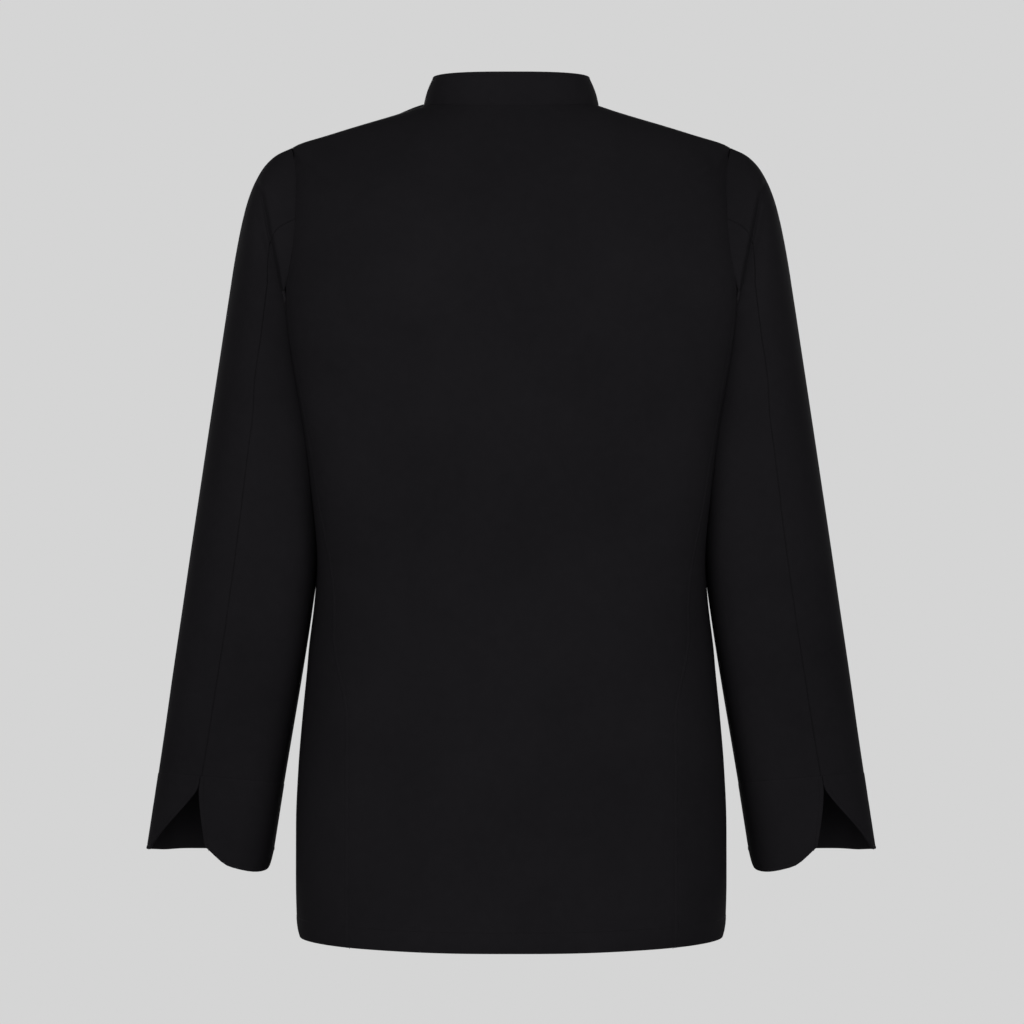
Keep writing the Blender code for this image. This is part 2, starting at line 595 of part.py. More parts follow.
def button(name, x, z, material, collection):
    """A button lying on the over front, its flat back just off the cloth."""
    angle, station = on_front(x, z)
    normal = outward(angle, station)[0]
    seat = body_point(angle, station)[0]
    bpy.ops.mesh.primitive_cylinder_add(
        vertices=BUTTON_SIDES, radius=BUTTON_RADIUS, depth=BUTTON_HEIGHT
    )
    piece = bpy.context.object
    piece.name = name
    piece.data.name = name
    out = OVERLAP_LIFT + BUTTON_SEAT + BUTTON_HEIGHT / 2
    piece.location = (seat + normal * out).tolist()
    piece.rotation_euler = Vector(normal.tolist()).to_track_quat("Z", "Y").to_euler()
    rim = piece.modifiers.new("rim", "BEVEL")
    rim.width = BUTTON_RIM
    rim.segments = 1
    piece.data.shade_smooth()
    piece.data.set_sharp_from_angle(angle=math.radians(60))
    piece.data.materials.append(material)
    for owner in list(piece.users_collection):
        owner.objects.unlink(piece)
    collection.objects.link(piece)


def main():
    clear_scene()
    jacket = bpy.data.collections.new("chef_jacket")
    bpy.context.scene.collection.children.link(jacket)
    twill = cloth_material("black_twill", (0.0088, 0.0082, 0.0095), 0.92)
    collar_twill = cloth_material("collar_twill", (0.0098, 0.0092, 0.0105), 0.90)
    button_black = cloth_material("button_black", (0.0120, 0.0120, 0.0130), 0.40)

    cloth_piece("back_panel", back_panel_sheet(), CLOTH, twill, jacket)
    cloth_piece("front_left", front_sheet(OVERLAP_LIFT), CLOTH, twill, jacket)
    cloth_piece("front_right", front_sheet(0.0), CLOTH, twill, jacket, mirror=True)
    cloth_piece("collar_stand", collar_sheet(), COLLAR_CLOTH, collar_twill, jacket)

    side = side_panel_sheet()
    upper = upper_sleeve_sheet()
    under = under_sleeve_sheet()
    cuff = cuff_sheet()
    for hand, mirror in (("left", False), ("right", True)):
        cloth_piece(f"side_panel_{hand}", side, CLOTH, twill, jacket, mirror)
        cloth_piece(f"upper_sleeve_{hand}", upper, CLOTH, twill, jacket, mirror)
        cloth_piece(f"under_sleeve_{hand}", under, CLOTH, twill, jacket, mirror)
        cloth_piece(f"cuff_{hand}", cuff, CUFF_CLOTH, twill, jacket, mirror)

    for row in range(BUTTON_ROWS):
        share = row / (BUTTON_ROWS - 1)
        x = TOP_BUTTON_X + (LOW_BUTTON_X - TOP_BUTTON_X) * share
        z = TOP_BUTTON_Z - BUTTON_PITCH * row
        button(f"button_left_{row + 1}", x, z, button_black, jacket)
        button(f"button_right_{row + 1}", -x, z, button_black, jacket)


main()
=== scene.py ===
"""The looks of a black chef jacket, buttoned up and filled out, with its arms hanging.

Metres, +Z up. The front faces -Y and the wearer's left is +X. Each cloth piece is a thin
wall through the same sections as its solid, laid more finely, with its folds, turned edges
and stitches.
"""

from collections import namedtuple
import math

import bmesh
import bpy
from mathutils import Matrix, Vector
import numpy as np


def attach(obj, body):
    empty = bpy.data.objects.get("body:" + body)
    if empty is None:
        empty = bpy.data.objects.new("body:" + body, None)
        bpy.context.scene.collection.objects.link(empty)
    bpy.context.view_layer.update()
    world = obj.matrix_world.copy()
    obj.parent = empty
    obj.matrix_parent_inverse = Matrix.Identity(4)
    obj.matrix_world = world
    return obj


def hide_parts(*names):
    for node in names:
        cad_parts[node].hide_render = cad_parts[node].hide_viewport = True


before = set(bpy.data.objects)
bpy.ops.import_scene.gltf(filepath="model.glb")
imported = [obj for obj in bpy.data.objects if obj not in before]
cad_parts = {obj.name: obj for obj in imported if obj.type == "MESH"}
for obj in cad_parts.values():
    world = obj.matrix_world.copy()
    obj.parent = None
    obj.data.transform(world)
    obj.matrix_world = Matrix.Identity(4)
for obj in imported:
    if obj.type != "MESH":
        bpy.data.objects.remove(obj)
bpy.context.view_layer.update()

# ---- Cloth ----
CLOTH = 0.0013
CUFF_CLOTH = 0.0020
COLLAR_CLOTH = 0.0025
SEAM_GAP = 0.00035
OVERLAP_LIFT = 0.0021
STEP = 0.005  # how far apart the points of a cloth piece lie
EDGE_STEPS = (0.0, 0.0003, 0.0008, 0.0015, 0.0024, 0.0034, 0.0042, 0.0050, 0.0062, 0.0082)
SEAM_DIP = 0.0003  # the cloth turns down into each seam
ARMHOLE_DIP = 0.00005
ARMHOLE_FLATNESS = 0.25  # the share of a panel's seam relief left round its armhole
BACK_SEAM_DIP = 0.0013  # the seam down the back of the sleeve is pressed sharp
SEAM_TUCK = 0.0006  # and runs on this far under its neighbour
SEAM_ROUND = 0.0009
ALLOWANCE_RISE = 0.00032  # the turnings under a seam lift the cloth as far as its stitching
ALLOWANCE_PAST = 0.0006  # and this far past it
ALLOWANCE_SLOPE = 0.0005
EDGE_ROUNDING = 0.6  # the share of the thickness over which a free edge is rounded
STITCH_IN = 0.0044
STITCH_DIP = 0.00036
STITCH_DIP_WIDTH = 0.0010
HEM_DEPTH = 0.019
SHARP_CLOTH = math.radians(50)
MIRROR_X = np.array([-1.0, 1.0, 1.0])

# ---- The lengths over which each piece's points are laid ----
BACK_ACROSS = 0.42
FRONT_ACROSS = 0.33
SIDE_ACROSS = 0.16
SIDE_ALONG = 0.57
SLEEVE_ACROSS = 0.26
SLEEVE_ALONG = 0.54
UPPER_FOLDED = (0.16, 0.26)  # how far across each half the sleeve is folded
UNDER_FOLDED = (0.0, 0.09)
CUFF_ACROSS = 0.30
CUFF_ALONG = 0.074
COLLAR_ACROSS = 0.42
COLLAR_ALONG = 0.036


def table(kind, *rows):
    return tuple(kind(*row) for row in rows)


# ---- Sections of the body, from the hem to the neck ----
# Each is closed round the body and may dip between its back, side and front.
# width and arm_tuck: the side stands at width, less what the hanging arm tucks in.
# square: 2 is an ellipse, more is squarer. back_seam and front_seam: the side panel's edges.
Section = namedtuple(
    "Section", "back_z side_z front_z width back_y front_y square arm_tuck back_seam front_seam"
)
BODY = table(
    Section,
    (-0.7566, -0.7525, -0.7565, 0.1915, 0.1235, 0.1290, 2.3, 0.000, 0.1470, 0.160),
    (-0.7445, -0.741, -0.7445, 0.1942, 0.1255, 0.1310, 2.3, 0.000, 0.1478, 0.161),
    (-0.700, -0.700, -0.700, 0.1953, 0.1265, 0.1320, 2.3, 0.000, 0.1480, 0.162),
    (-0.650, -0.650, -0.650, 0.1952, 0.1255, 0.1310, 2.3, 0.000, 0.1480, 0.162),
    (-0.600, -0.600, -0.600, 0.1931, 0.1225, 0.1285, 2.3, 0.000, 0.1480, 0.162),
    (-0.553, -0.553, -0.553, 0.1893, 0.1185, 0.1260, 2.3, 0.000, 0.1478, 0.162),
    (-0.500, -0.500, -0.500, 0.1843, 0.1130, 0.1225, 2.3, 0.000, 0.1570, 0.163),
    (-0.451, -0.451, -0.451, 0.1815, 0.1085, 0.1200, 2.4, 0.003, 0.1645, 0.166),
    (-0.413, -0.413, -0.413, 0.1905, 0.1060, 0.1190, 2.5, 0.016, 0.1689, 0.169),
    (-0.372, -0.372, -0.372, 0.2090, 0.1080, 0.1195, 2.7, 0.041, 0.1716, 0.172),
    (-0.332, -0.332, -0.332, 0.2170, 0.1125, 0.1215, 2.8, 0.053, 0.1769, 0.177),
    (-0.293, -0.293, -0.293, 0.2285, 0.1170, 0.1240, 2.8, 0.068, 0.1830, 0.182),
    (-0.257, -0.257, -0.257, 0.2420, 0.1200, 0.1255, 2.8, 0.082, 0.1893, 0.187),
    (-0.217, -0.217, -0.217, 0.2600, 0.1215, 0.1260, 2.8, 0.099, 0.1968, 0.192),
    (-0.182, -0.167, -0.182, 0.2650, 0.1205, 0.1235, 2.8, 0.090, 0.2025, 0.196),
    (-0.152, -0.115, -0.155, 0.2440, 0.1180, 0.1170, 2.7, 0.048, 0.2050, 0.198),
    (-0.127, -0.070, -0.136, 0.2170, 0.1150, 0.1090, 2.5, 0.014, 0.2060, 0.198),
    (-0.106, -0.0378, -0.120, 0.1990, 0.1115, 0.1010, 2.5, 0.000, 0.2060, 0.198),
    (-0.077, -0.0266, -0.105, 0.1667, 0.1050, 0.0915, 2.4, 0.000, 0.2060, 0.198),
    (-0.049, -0.0162, -0.091, 0.1330, 0.0940, 0.0825, 2.35, 0.000, 0.2060, 0.198),
    (-0.024, -0.0070, -0.078, 0.1010, 0.0795, 0.0740, 2.3, 0.000, 0.2060, 0.198),
    (-0.005, 0.0000, -0.068, 0.0795, 0.0660, 0.0665, 2.3, 0.000, 0.2060, 0.198),
)
ARMHOLE_FOOT_ROW = 13
SHOULDER_TIP_ROW = 17
TUCK_SPREAD = 18.0  # degrees either side of the arm
ROUNDING = 0.045  # how far up and down the turn over the shoulder is eased
ROUNDED_FROM = 14.0  # degrees from the shoulder's seam at which it is eased in full
EASE_REACH = np.array([-1.0, -0.5, 0.0, 0.5, 1.0])
EASE_WEIGHT = np.array([1, 4, 6, 4, 1]) / 16
ARMHOLE_REACH_BACK = 21.5  # degrees from the side to the armhole's back edge
ARMHOLE_REACH_FRONT = 22.5
ARMHOLE_CORNER = 107.0  # where the side panel's seams meet the armhole, round from its top
SEAM_WITHIN = (85.0, 21.5)  # degrees from the side between which the side panel's seams lie
LEVEL_TO = 0.8  # the share of its height to which the side panel's rows are level
BACK_SEAM_ROOT = 64.2  # where the sleeve's back seam meets the armhole
FRONT_EDGE_TOP = 0.066  # the over front's edge, from the middle, at the neck
FRONT_EDGE_WIDEST = 0.088
FRONT_EDGE_HEM = 0.075
WIDEST_BELOW_NECK = 0.09
FREE_EDGE_WITHIN = (180, 262)
OVERLAP_RAMP = (0.085, 0.112)

# ---- Sections of the arm, from the armhole to the wrist ----
# out and into: the section's points furthest from the body and nearest to it.
# bow: how far the section's back and front stand out past the line between those points.
# dip: how far its back hangs below its front, because the forearm comes forward.
ArmSection = namedtuple("ArmSection", "out_x out_z into_x into_z mid_y half_depth bow dip")
ARM = table(
    ArmSection,
    (0.1990, -0.0378, 0.1615, -0.2145, 0.001, 0.0750, 0.020, 0.000),
    (0.2123, -0.0441, 0.1630, -0.2165, 0.001, 0.0745, 0.0205, 0.000),
    (0.2225, -0.0535, 0.1636, -0.2200, 0.001, 0.0730, 0.020, 0.000),
    (0.2306, -0.0665, 0.1640, -0.2240, 0.000, 0.0705, 0.019, 0.000),
    (0.2375, -0.0835, 0.1642, -0.2290, 0.000, 0.0680, 0.018, 0.000),
    (0.2433, -0.1045, 0.1642, -0.2350, 0.000, 0.0660, 0.016, 0.000),
    (0.2502, -0.1380, 0.1642, -0.2430, 0.000, 0.0640, 0.0125, 0.000),
    (0.2562, -0.1750, 0.1643, -0.2540, 0.000, 0.0630, 0.0085, 0.000),
    (0.2640, -0.2260, 0.1646, -0.2720, 0.000, 0.0625, 0.005, 0.001),
    (0.2727, -0.2830, 0.1660, -0.3040, 0.000, 0.0620, 0.000, 0.002),
    (0.2818, -0.3430, 0.1700, -0.3580, -0.001, 0.0605, 0.000, 0.004),
    (0.2905, -0.4000, 0.1755, -0.4160, -0.003, 0.0580, 0.000, 0.005),
    (0.2990, -0.4560, 0.1830, -0.4710, -0.007, 0.0550, 0.000, 0.005),
    (0.3080, -0.5140, 0.1923, -0.5275, -0.013, 0.0515, 0.000, 0.003),
    (0.3165, -0.5700, 0.2018, -0.5810, -0.021, 0.0480, 0.000, 0.000),
    (0.3222, -0.6060, 0.2080, -0.6160, -0.026, 0.0460, 0.000, -0.003),
)
ARM_SQUARE = 2.1
ARM_SQUARE_INSIDE = 3.4  # it is pressed flatter on the side of the body
PRESSED_FROM = 0.12  # from this share of its length on
BACK_SEAM_TURN = 75.0  # the sleeve's seams at the wrist, in degrees from its outermost line
FRONT_SEAM_TURN = -112.0
SEAMS_SETTLE = 0.30  # the share of its length at which they reach those turns
BACK_SEAM_SWING = (  # the back seam swings in under the shoulder's fold: share, degrees
    (0.00, 0.0),
    (0.08, 8.0),
    (0.16, 15.0),
    (0.27, 18.0),
    (0.37, 15.0),
    (0.47, 8.5),
    (0.57, 1.5),
    (0.64, 0.0),
    (1.00, 0.0),
)
ROOT_FADE = 0.24  # the sleeve leaves the armhole's own line within this share of its length
FOLDS_OVER = (125.0, 145.0, 160.0, 180.0)  # turns between which it hangs over the side panel
FOLDED_SHARE = (0.0, 1.0, 1.0, 0.0)
FOLD_LIFT = 0.0024
ROOT_TUCK = 0.0008  # there its sewn edge turns in under the panels
CLEAR_ABOVE = 0.030  # it is held off the body to this far above the side panel
CLEAR_OF_SIDE = -0.0011
CLEAR_FROM = 0.02

# ---- The fold where the shoulder's cloth hangs over the top of the sleeve ----
CREASE_LINE = (  # x and z, from its upper end to its lower one
    (0.2312, -0.0640),
    (0.2228, -0.0855),
    (0.2168, -0.1156),
    (0.2079, -0.1595),
    (0.2062, -0.1680),
)
CREASE_FADE = 0.020
CREASE_DEPTH = 0.0050
CREASE_OUTER = 0.0160  # it runs out softly on the sleeve's side
CREASE_INNER = 0.0030  # and sharply under the overhang
CREASE_CORE = 0.0030  # the folded line itself is sunk this much more
CREASE_CORE_WIDTH = 0.0019
OVERHANG = 0.0012
OVERHANG_WIDTH = 0.0080
FOLDED_LENGTH = 0.150  # the sleeve's points lie closer together where it is folded
FOLDED_STEP = 0.0020

# ---- Soft creases, by where they start and end on the wearer's left ----
# A plus depth is a trough, a minus one a ridge. Both sides get each one, unevenly.
CREASE_TAPER = 0.65  # how much shallower a crease is at its ends
CREASE_FACING = 0.35  # it fades where the cloth turns away further than this
Crease = namedtuple("Crease", "face start_x start_z end_x end_z width depth other_side")
BACK_CREASES = table(
    Crease,
    ("back", 0.190, -0.215, 0.135, -0.305, 0.020, 0.0016, 1.0),
    ("back", 0.182, -0.262, 0.140, -0.330, 0.016, -0.0010, 1.0),
    ("back", 0.160, -0.372, 0.085, -0.402, 0.013, 0.0012, 1.0),
    ("back", 0.150, -0.425, 0.095, -0.440, 0.012, 0.0009, 1.0),
    ("back", 0.105, -0.520, 0.112, -0.745, 0.030, 0.0014, 1.0),
    ("back", 0.040, -0.600, 0.048, -0.750, 0.030, -0.0010, 1.0),
)
FRONT_CREASES = table(
    Crease,
    ("front", 0.188, -0.205, 0.120, -0.300, 0.018, 0.0030, 0.8),
    ("front", 0.180, -0.245, 0.128, -0.345, 0.013, -0.0018, 1.2),
    ("front", 0.160, -0.375, 0.098, -0.398, 0.011, 0.0022, 0.7),
    ("front", 0.155, -0.420, 0.085, -0.428, 0.010, 0.0016, 1.3),
    ("front", 0.055, -0.180, 0.020, -0.190, 0.007, 0.0009, 1.0),
    ("front", 0.050, -0.268, 0.012, -0.283, 0.008, 0.0011, 0.8),
    ("front", 0.050, -0.356, 0.010, -0.362, 0.007, 0.0010, 1.2),
    ("front", 0.120, -0.540, 0.130, -0.740, 0.028, 0.0022, 0.8),
    ("front", 0.100, -0.600, 0.104, -0.745, 0.020, -0.0014, 1.1),
)
SLEEVE_CREASES = table(
    Crease,
    ("back", 0.236, -0.125, 0.247, -0.255, 0.016, 0.0012, 1.0),
    ("back", 0.205, -0.352, 0.250, -0.372, 0.011, 0.0010, 1.0),
    ("back", 0.200, -0.398, 0.236, -0.404, 0.009, 0.0009, 1.0),
    ("back", 0.225, -0.545, 0.275, -0.570, 0.012, 0.0009, 1.0),
    ("front", 0.196, -0.330, 0.258, -0.352, 0.009, 0.0034, 0.8),
    ("front", 0.200, -0.368, 0.262, -0.376, 0.008, 0.0030, 1.1),
    ("front", 0.206, -0.408, 0.255, -0.402, 0.009, 0.0022, 0.9),
    ("front", 0.230, -0.115, 0.222, -0.250, 0.013, 0.0026, 1.1),
    ("front", 0.240, -0.520, 0.290, -0.545, 0.011, 0.0014, 0.8),
)

# ---- The cuff: round from the vent's outer edge to its inner edge ----
# turn: degrees from the outermost line at the seam, hem_turn: the same at the hem.
CuffEdge = namedtuple("CuffEdge", "turn hem_turn depth")
CUFF = table(
    CuffEdge,
    (74.0, 23.0, 0.0716),
    (52.0, 13.0, 0.0718),
    (28.0, 0.0, 0.0719),
    (2.0, -18.0, 0.0719),
    (-28.0, -38.0, 0.0717),
    (-58.0, -63.0, 0.0690),
    (-90.0, -92.0, 0.0668),
    (-120.0, -120.0, 0.0655),
    (-150.0, -148.0, 0.0640),
    (-174.0, -172.0, 0.0634),
    (-194.0, -190.0, 0.0720),
    (-212.0, -207.5, 0.0807),
    (-236.0, -228.0, 0.0838),
    (-260.0, -247.0, 0.0812),
    (-286.0, -271.8, 0.0645),
)
VENT_TOP = 0.0095
VENT_CURVE = 1.3  # its two sides bow apart a little
CUFF_LEAN = (0.160, -0.135, -0.978)  # the way the forearm points
CUFF_STANDS = 0.0003  # the turned-back cuff stands out past the sleeve

# ---- The collar ----
COLLAR_TOP = Section(0.0262, 0.0256, -0.031, 0.0707, 0.0585, 0.0600, 2.7, 0.0, 0.0, 0.0)
COLLAR_HEIGHT = 0.034
COLLAR_SEAT = 0.0006
COLLAR_SWELL = 0.0012
COLLAR_END_GAP = 0.004
COLLAR_CORNER = 0.012

# ---- Buttons ----
BUTTON_HEIGHT = 0.0036
BUTTON_SEAT = 0.0006
BUTTON_ROWS = 5
TOP_BUTTON_Z = -0.135
BUTTON_PITCH = 0.088
TOP_BUTTON_X = 0.074
LOW_BUTTON_X = 0.060
BUTTON_PROFILE = (  # out from its middle, and up as a share of its height
    (0.0000, -0.50), (0.0058, -0.50), (0.0078, -0.40), (0.0085, -0.10), (0.0085, 0.18),
    (0.0081, 0.40), (0.0074, 0.50), (0.0066, 0.47), (0.0060, 0.36), (0.0054, 0.26),
    (0.0040, 0.20), (0.0000, 0.18),
)
BUTTON_SIDES = 40
BUTTON_HOLE_RADIUS = 0.0009
BUTTON_HOLE_OUT = 0.0017
BUTTON_HOLE_SIDES = 14
THREAD_RADIUS = 0.00022
THREAD_SPACING = 0.00032
THREAD_LEVEL = 0.22  # as a share of the button's height
THREAD_SIDES = 8
BUTTONHOLE_LENGTH = 0.0225
BUTTONHOLE_WIDTH = 0.0026
BUTTONHOLE_SQUARE = 0.35  # its ends are squared off: 1 would be an oval
BUTTONHOLE_LIFT = 0.0001
SHARP_BUTTON = math.radians(40)

# ---- Stitches ----
STITCH_LENGTH = 0.0026
STITCH_PITCH = 0.0033
STITCH_RADIUS = 0.00019
STITCH_FLATNESS = 1.4

# ---- The cut of each cloth piece: its widest, its longest and its area laid flat ----
Cut = namedtuple("Cut", "width length area")
SIDE_CUT = Cut(0.221, 0.598, 0.0955)
UPPER_SLEEVE_CUT = Cut(0.269, 0.598, 0.1076)
UNDER_SLEEVE_CUT = Cut(0.284, 0.524, 0.0800)
CUFF_CUT = Cut(0.344, 0.095, 0.0227)

# ---- Finishes ----
RIB_PITCH = 0.0009
RIB_TURNS = 2 * math.pi / (RIB_PITCH * math.sqrt(2))
THREADS_IN_UNIT = 1400.0
SLUBS_IN_UNIT = 130.0
CLOUDS_IN_UNIT = 9.0
WEAVE_HEIGHT = 0.00016
TWILL_DARK = (0.0036, 0.0034, 0.0039)
TWILL_LIGHT = (0.0066, 0.0062, 0.0070)
TWILL_ROUGHNESS = 0.86
TWILL_GLOSS = 0.004
# The cloth's wrong side is made paler. Part of this is the twill's own paler back, and part is
# painted light that brightens the shaded insides of the cuffs' vents.
WRONG_SIDE_PALER_AND_PAINTED_LIGHT = 0.6
THREAD_DARK = (0.0030, 0.0028, 0.0032)
THREAD_LIGHT = (0.0048, 0.0044, 0.0050)
THREAD_ROUGHNESS = 0.75
THREAD_GLOSS = 0.03
BUTTON_DARK = (0.007, 0.007, 0.008)
BUTTON_LIGHT = (0.012, 0.012, 0.014)
BUTTON_ROUGHNESS = 0.38
BUTTON_GLOSS = 0.12

# ---- Stage ----
CAMERA_AT = (-0.0007, 3.83, -0.368)
CAMERA_LENS = 148.3
BACKDROP_GREY = 0.665
FLOOR_Z = -1.25
LIGHT_SIZE = (2.0, 1.1)
LIGHTS_AIM = (0, 0, -0.35)
LIGHTS = (  # name, place and power
    ("back_key", (0.0, 3.9, 0.55), 98),
    ("back_left", (2.3, 3.2, 0.2), 64),
    ("back_right", (-2.3, 3.2, 0.2), 60),
    ("front_key", (0.0, -3.9, 0.55), 98),
    ("front_left", (2.3, -3.2, 0.2), 60),
    ("front_right", (-2.3, -3.2, 0.2), 64),
)


# ---- The body's surface ----
def smooth_between(stations, values, at):
    """A curve through every value that never overshoots one."""
    steps = np.diff(stations)
    slopes = np.diff(values) / steps
    same_way = slopes[1:] * slopes[:-1] > 0
    both = np.where(same_way, slopes[1:] + slopes[:-1], 1.0)
    inner = np.where(same_way, 2 * slopes[1:] * slopes[:-1] / both, 0.0)
    tangents = np.concatenate([slopes[:1], inner, slopes[-1:]])
    index = np.clip(np.searchsorted(stations, at, side="right") - 1, 0, len(steps) - 1)
    step = steps[index]
    share = (at - stations[index]) / step
    rise = values[index + 1] - values[index]
    ease = share * share * (3 - 2 * share)
    out = share * (1 - share) ** 2 * step * tangents[index]
    back = share * share * (share - 1) * step * tangents[index + 1]
    return values[index] + rise * ease + out + back


def column(table, name):
    return np.array([getattr(row, name) for row in table])


def body_stations():
    """How far up the body each section lies, averaged over its back, side and front."""
    back = np.stack([column(BODY, "back_y"), column(BODY, "back_z")])
    side = np.stack([column(BODY, "width") - column(BODY, "arm_tuck"), column(BODY, "side_z")])
    front = np.stack([column(BODY, "front_y"), column(BODY, "front_z")])
    steps = sum(np.hypot(*np.diff(line)) for line in (back, side, front)) / 3
    return np.concatenate([[0.0], np.cumsum(steps)])


STATIONS = body_stations()
ARMHOLE_FOOT = STATIONS[ARMHOLE_FOOT_ROW]
SHOULDER_TIP = STATIONS[SHOULDER_TIP_ROW]
NECK = STATIONS[-1]
ARMHOLE_MIDDLE = (ARMHOLE_FOOT + SHOULDER_TIP) / 2
ARMHOLE_HALF = (SHOULDER_TIP - ARMHOLE_FOOT) / 2


def degrees_from_side(angle):
    return np.degrees(np.arcsin(np.clip(np.abs(np.cos(np.radians(angle))), 0, 1)))


def section_point(size, angle):
    """Points of a section, by the angle from the centre back towards the wearer's left."""
    turn = np.radians(angle)
    across = np.abs(np.sin(turn))
    along = np.abs(np.cos(turn))
    behind = np.cos(turn) >= 0
    depth = np.where(behind, size("back_y"), size("front_y"))
    power = size("square")
    reach = ((across / size("width")) ** power + (along / depth) ** power) ** (-1 / power)
    tucked_in = np.exp(-((degrees_from_side(angle) / TUCK_SPREAD) ** 2))
    reach = reach - size("arm_tuck") * tucked_in
    end_z = np.where(behind, size("back_z"), size("front_z"))
    z = size("side_z") + (end_z - size("side_z")) * (reach * along / depth) ** 2
    return np.stack([reach * np.sin(turn), reach * np.cos(turn), z], axis=-1)


def body_point(angle, station):
    """Points of the body: its sections, eased into each other away from its sides."""
    angle, station = np.broadcast_arrays(angle, station)

    def point_at(level):
        def size(name):
            return smooth_between(STATIONS, column(BODY, name), level)

        return section_point(size, angle)

    room = np.clip(np.minimum(station, NECK - station), 0, None)
    ease = np.minimum(ROUNDING * np.clip(degrees_from_side(angle) / ROUNDED_FROM, 0, 1), room)
    return sum(
        weight * point_at(station + reach * ease) for reach, weight in zip(EASE_REACH, EASE_WEIGHT)
    )


def unit(vectors):
    return vectors / np.linalg.norm(vectors, axis=-1, keepdims=True)


def outward(angle, station):
    """The body's outward direction."""
    small = 0.05
    step = 0.0005
    angle, station = np.broadcast_arrays(angle, station)
    low = np.clip(station - step, 0, NECK)
    high = np.clip(station + step, 0, NECK)
    round_body = body_point(angle + small, station) - body_point(angle - small, station)
    up_body = body_point(angle, high) - body_point(angle, low)
    return unit(np.cross(up_body, round_body))


def angles_at(stations, widths, start, end):
    """The angles at which the sections at these stations reach these widths."""
    angles = np.linspace(start, end, 700)
    reached = np.abs(body_point(angles, stations[:, None])[..., 0])
    reached = np.maximum.accumulate(reached, axis=1)
    return np.array([np.interp(width, row, angles) for width, row in zip(widths, reached)])


def armhole(turn):
    """The armhole's angle and station, by the turn from its top towards the back."""
    turn = np.radians(turn)
    reach = np.where(np.sin(turn) >= 0, ARMHOLE_REACH_BACK, ARMHOLE_REACH_FRONT)
    return 90 - reach * np.sin(turn), ARMHOLE_MIDDLE + ARMHOLE_HALF * np.cos(turn)


CORNER = float(armhole(ARMHOLE_CORNER)[1])
SEAM_LEVELS = np.linspace(0, CORNER, 260)


def seam_line(side):
    """The angles of a side panel's seam, from the hem to the armhole's corner."""
    name = "back_seam" if side > 0 else "front_seam"
    widths = smooth_between(STATIONS, column(BODY, name), SEAM_LEVELS)
    start, end = (90 - reach * side for reach in SEAM_WITHIN)
    below = angles_at(SEAM_LEVELS, widths, start, end)
    near = np.clip((SEAM_LEVELS - ARMHOLE_FOOT) / (CORNER - ARMHOLE_FOOT), 0, 1)
    return below + (armhole(side * ARMHOLE_CORNER)[0] - below) * near


SEAM_LINES = {side: seam_line(side) for side in (1, -1)}


def panel_edge(stations, side):
    """A panel's edge angles: side seam, armhole, then shoulder seam. The back's side is 1."""
    turns = np.degrees(np.arccos(np.clip((stations - ARMHOLE_MIDDLE) / ARMHOLE_HALF, -1, 1)))
    beside = np.where(stations >= SHOULDER_TIP, 90.0, armhole(side * turns)[0])
    return np.where(stations > CORNER, beside, np.interp(stations, SEAM_LEVELS, SEAM_LINES[side]))


# ---- The sleeve's surface ----
def arm_point(turn, share):
    """Points of the left sleeve's tube, by the turn from its outermost line to the back."""
    turn, share = np.broadcast_arrays(turn, share)
    rows = np.linspace(0, 1, len(ARM))

    def size(name):
        return smooth_between(rows, column(ARM, name), share)

    angle = np.radians(turn)
    pressed = np.clip(share / PRESSED_FROM, 0, 1) * (np.cos(angle) < 0)
    power = ARM_SQUARE + (ARM_SQUARE_INSIDE - ARM_SQUARE) * pressed
    reach = (np.abs(np.cos(angle)) ** power + np.abs(np.sin(angle)) ** power) ** (-1 / power)
    along = np.cos(angle) * reach
    aside = np.sin(angle) * reach
    mid_x = (size("out_x") + size("into_x")) / 2
    mid_z = (size("out_z") + size("into_z")) / 2
    x = mid_x + (size("out_x") - mid_x) * along + size("bow") * aside**2
    y = size("mid_y") + size("half_depth") * aside
    z = mid_z + (size("out_z") - mid_z) * along - size("dip") * aside
    return np.stack([x, y, z], axis=-1)


def overhang(points):
    """How far the cloth sinks under the shoulder's fold, and swells just inside it."""
    line_x, line_z = np.array(CREASE_LINE)[::-1].T
    beyond = points[..., 0] - np.interp(points[..., 2], line_z, line_x)
    width = np.where(beyond > 0, CREASE_OUTER, CREASE_INNER)
    sunk = CREASE_DEPTH * np.exp(-((beyond / width) ** 2))
    sunk += CREASE_CORE * np.exp(-((beyond / CREASE_CORE_WIDTH) ** 2))
    swell = OVERHANG * np.exp(-(((beyond + OVERHANG_WIDTH) / OVERHANG_WIDTH) ** 2))
    past = np.maximum(points[..., 2] - line_z[-1], line_z[0] - points[..., 2])
    ends = np.exp(-((np.clip(past + CREASE_FADE, 0, None) / CREASE_FADE) ** 2))
    return (sunk - swell) * ends


def folded_over(turn):
    """How fully the sleeve hangs over the side panel at this turn round the armhole."""
    return np.interp(np.abs((turn + 180) % 360 - 180), FOLDS_OVER, FOLDED_SHARE)


def sleeve_point(turn, share):
    """The sleeve: from the armhole's own line on to the arm's sections."""
    turn, share = np.broadcast_arrays(turn, share)
    angle, station = armhole(turn)
    over = FOLD_LIFT * folded_over(turn)
    seam = body_point(angle, station) + outward(angle, station) * over[..., None]
    seam = seam + np.array([SEAM_GAP, 0, 0])
    fade = np.clip(1 - share / ROOT_FADE, 0, 1)[..., None] ** 2
    points = arm_point(turn, share) + (seam - arm_point(turn, np.zeros_like(share))) * fade
    side = np.sign(points[..., 1])
    sunk = overhang(points) * np.clip(np.abs(np.sin(np.radians(turn))), 0, 1) * (1 - fade[..., 0])
    points[..., 1] -= side * sunk
    return clear_of_body(points, share)


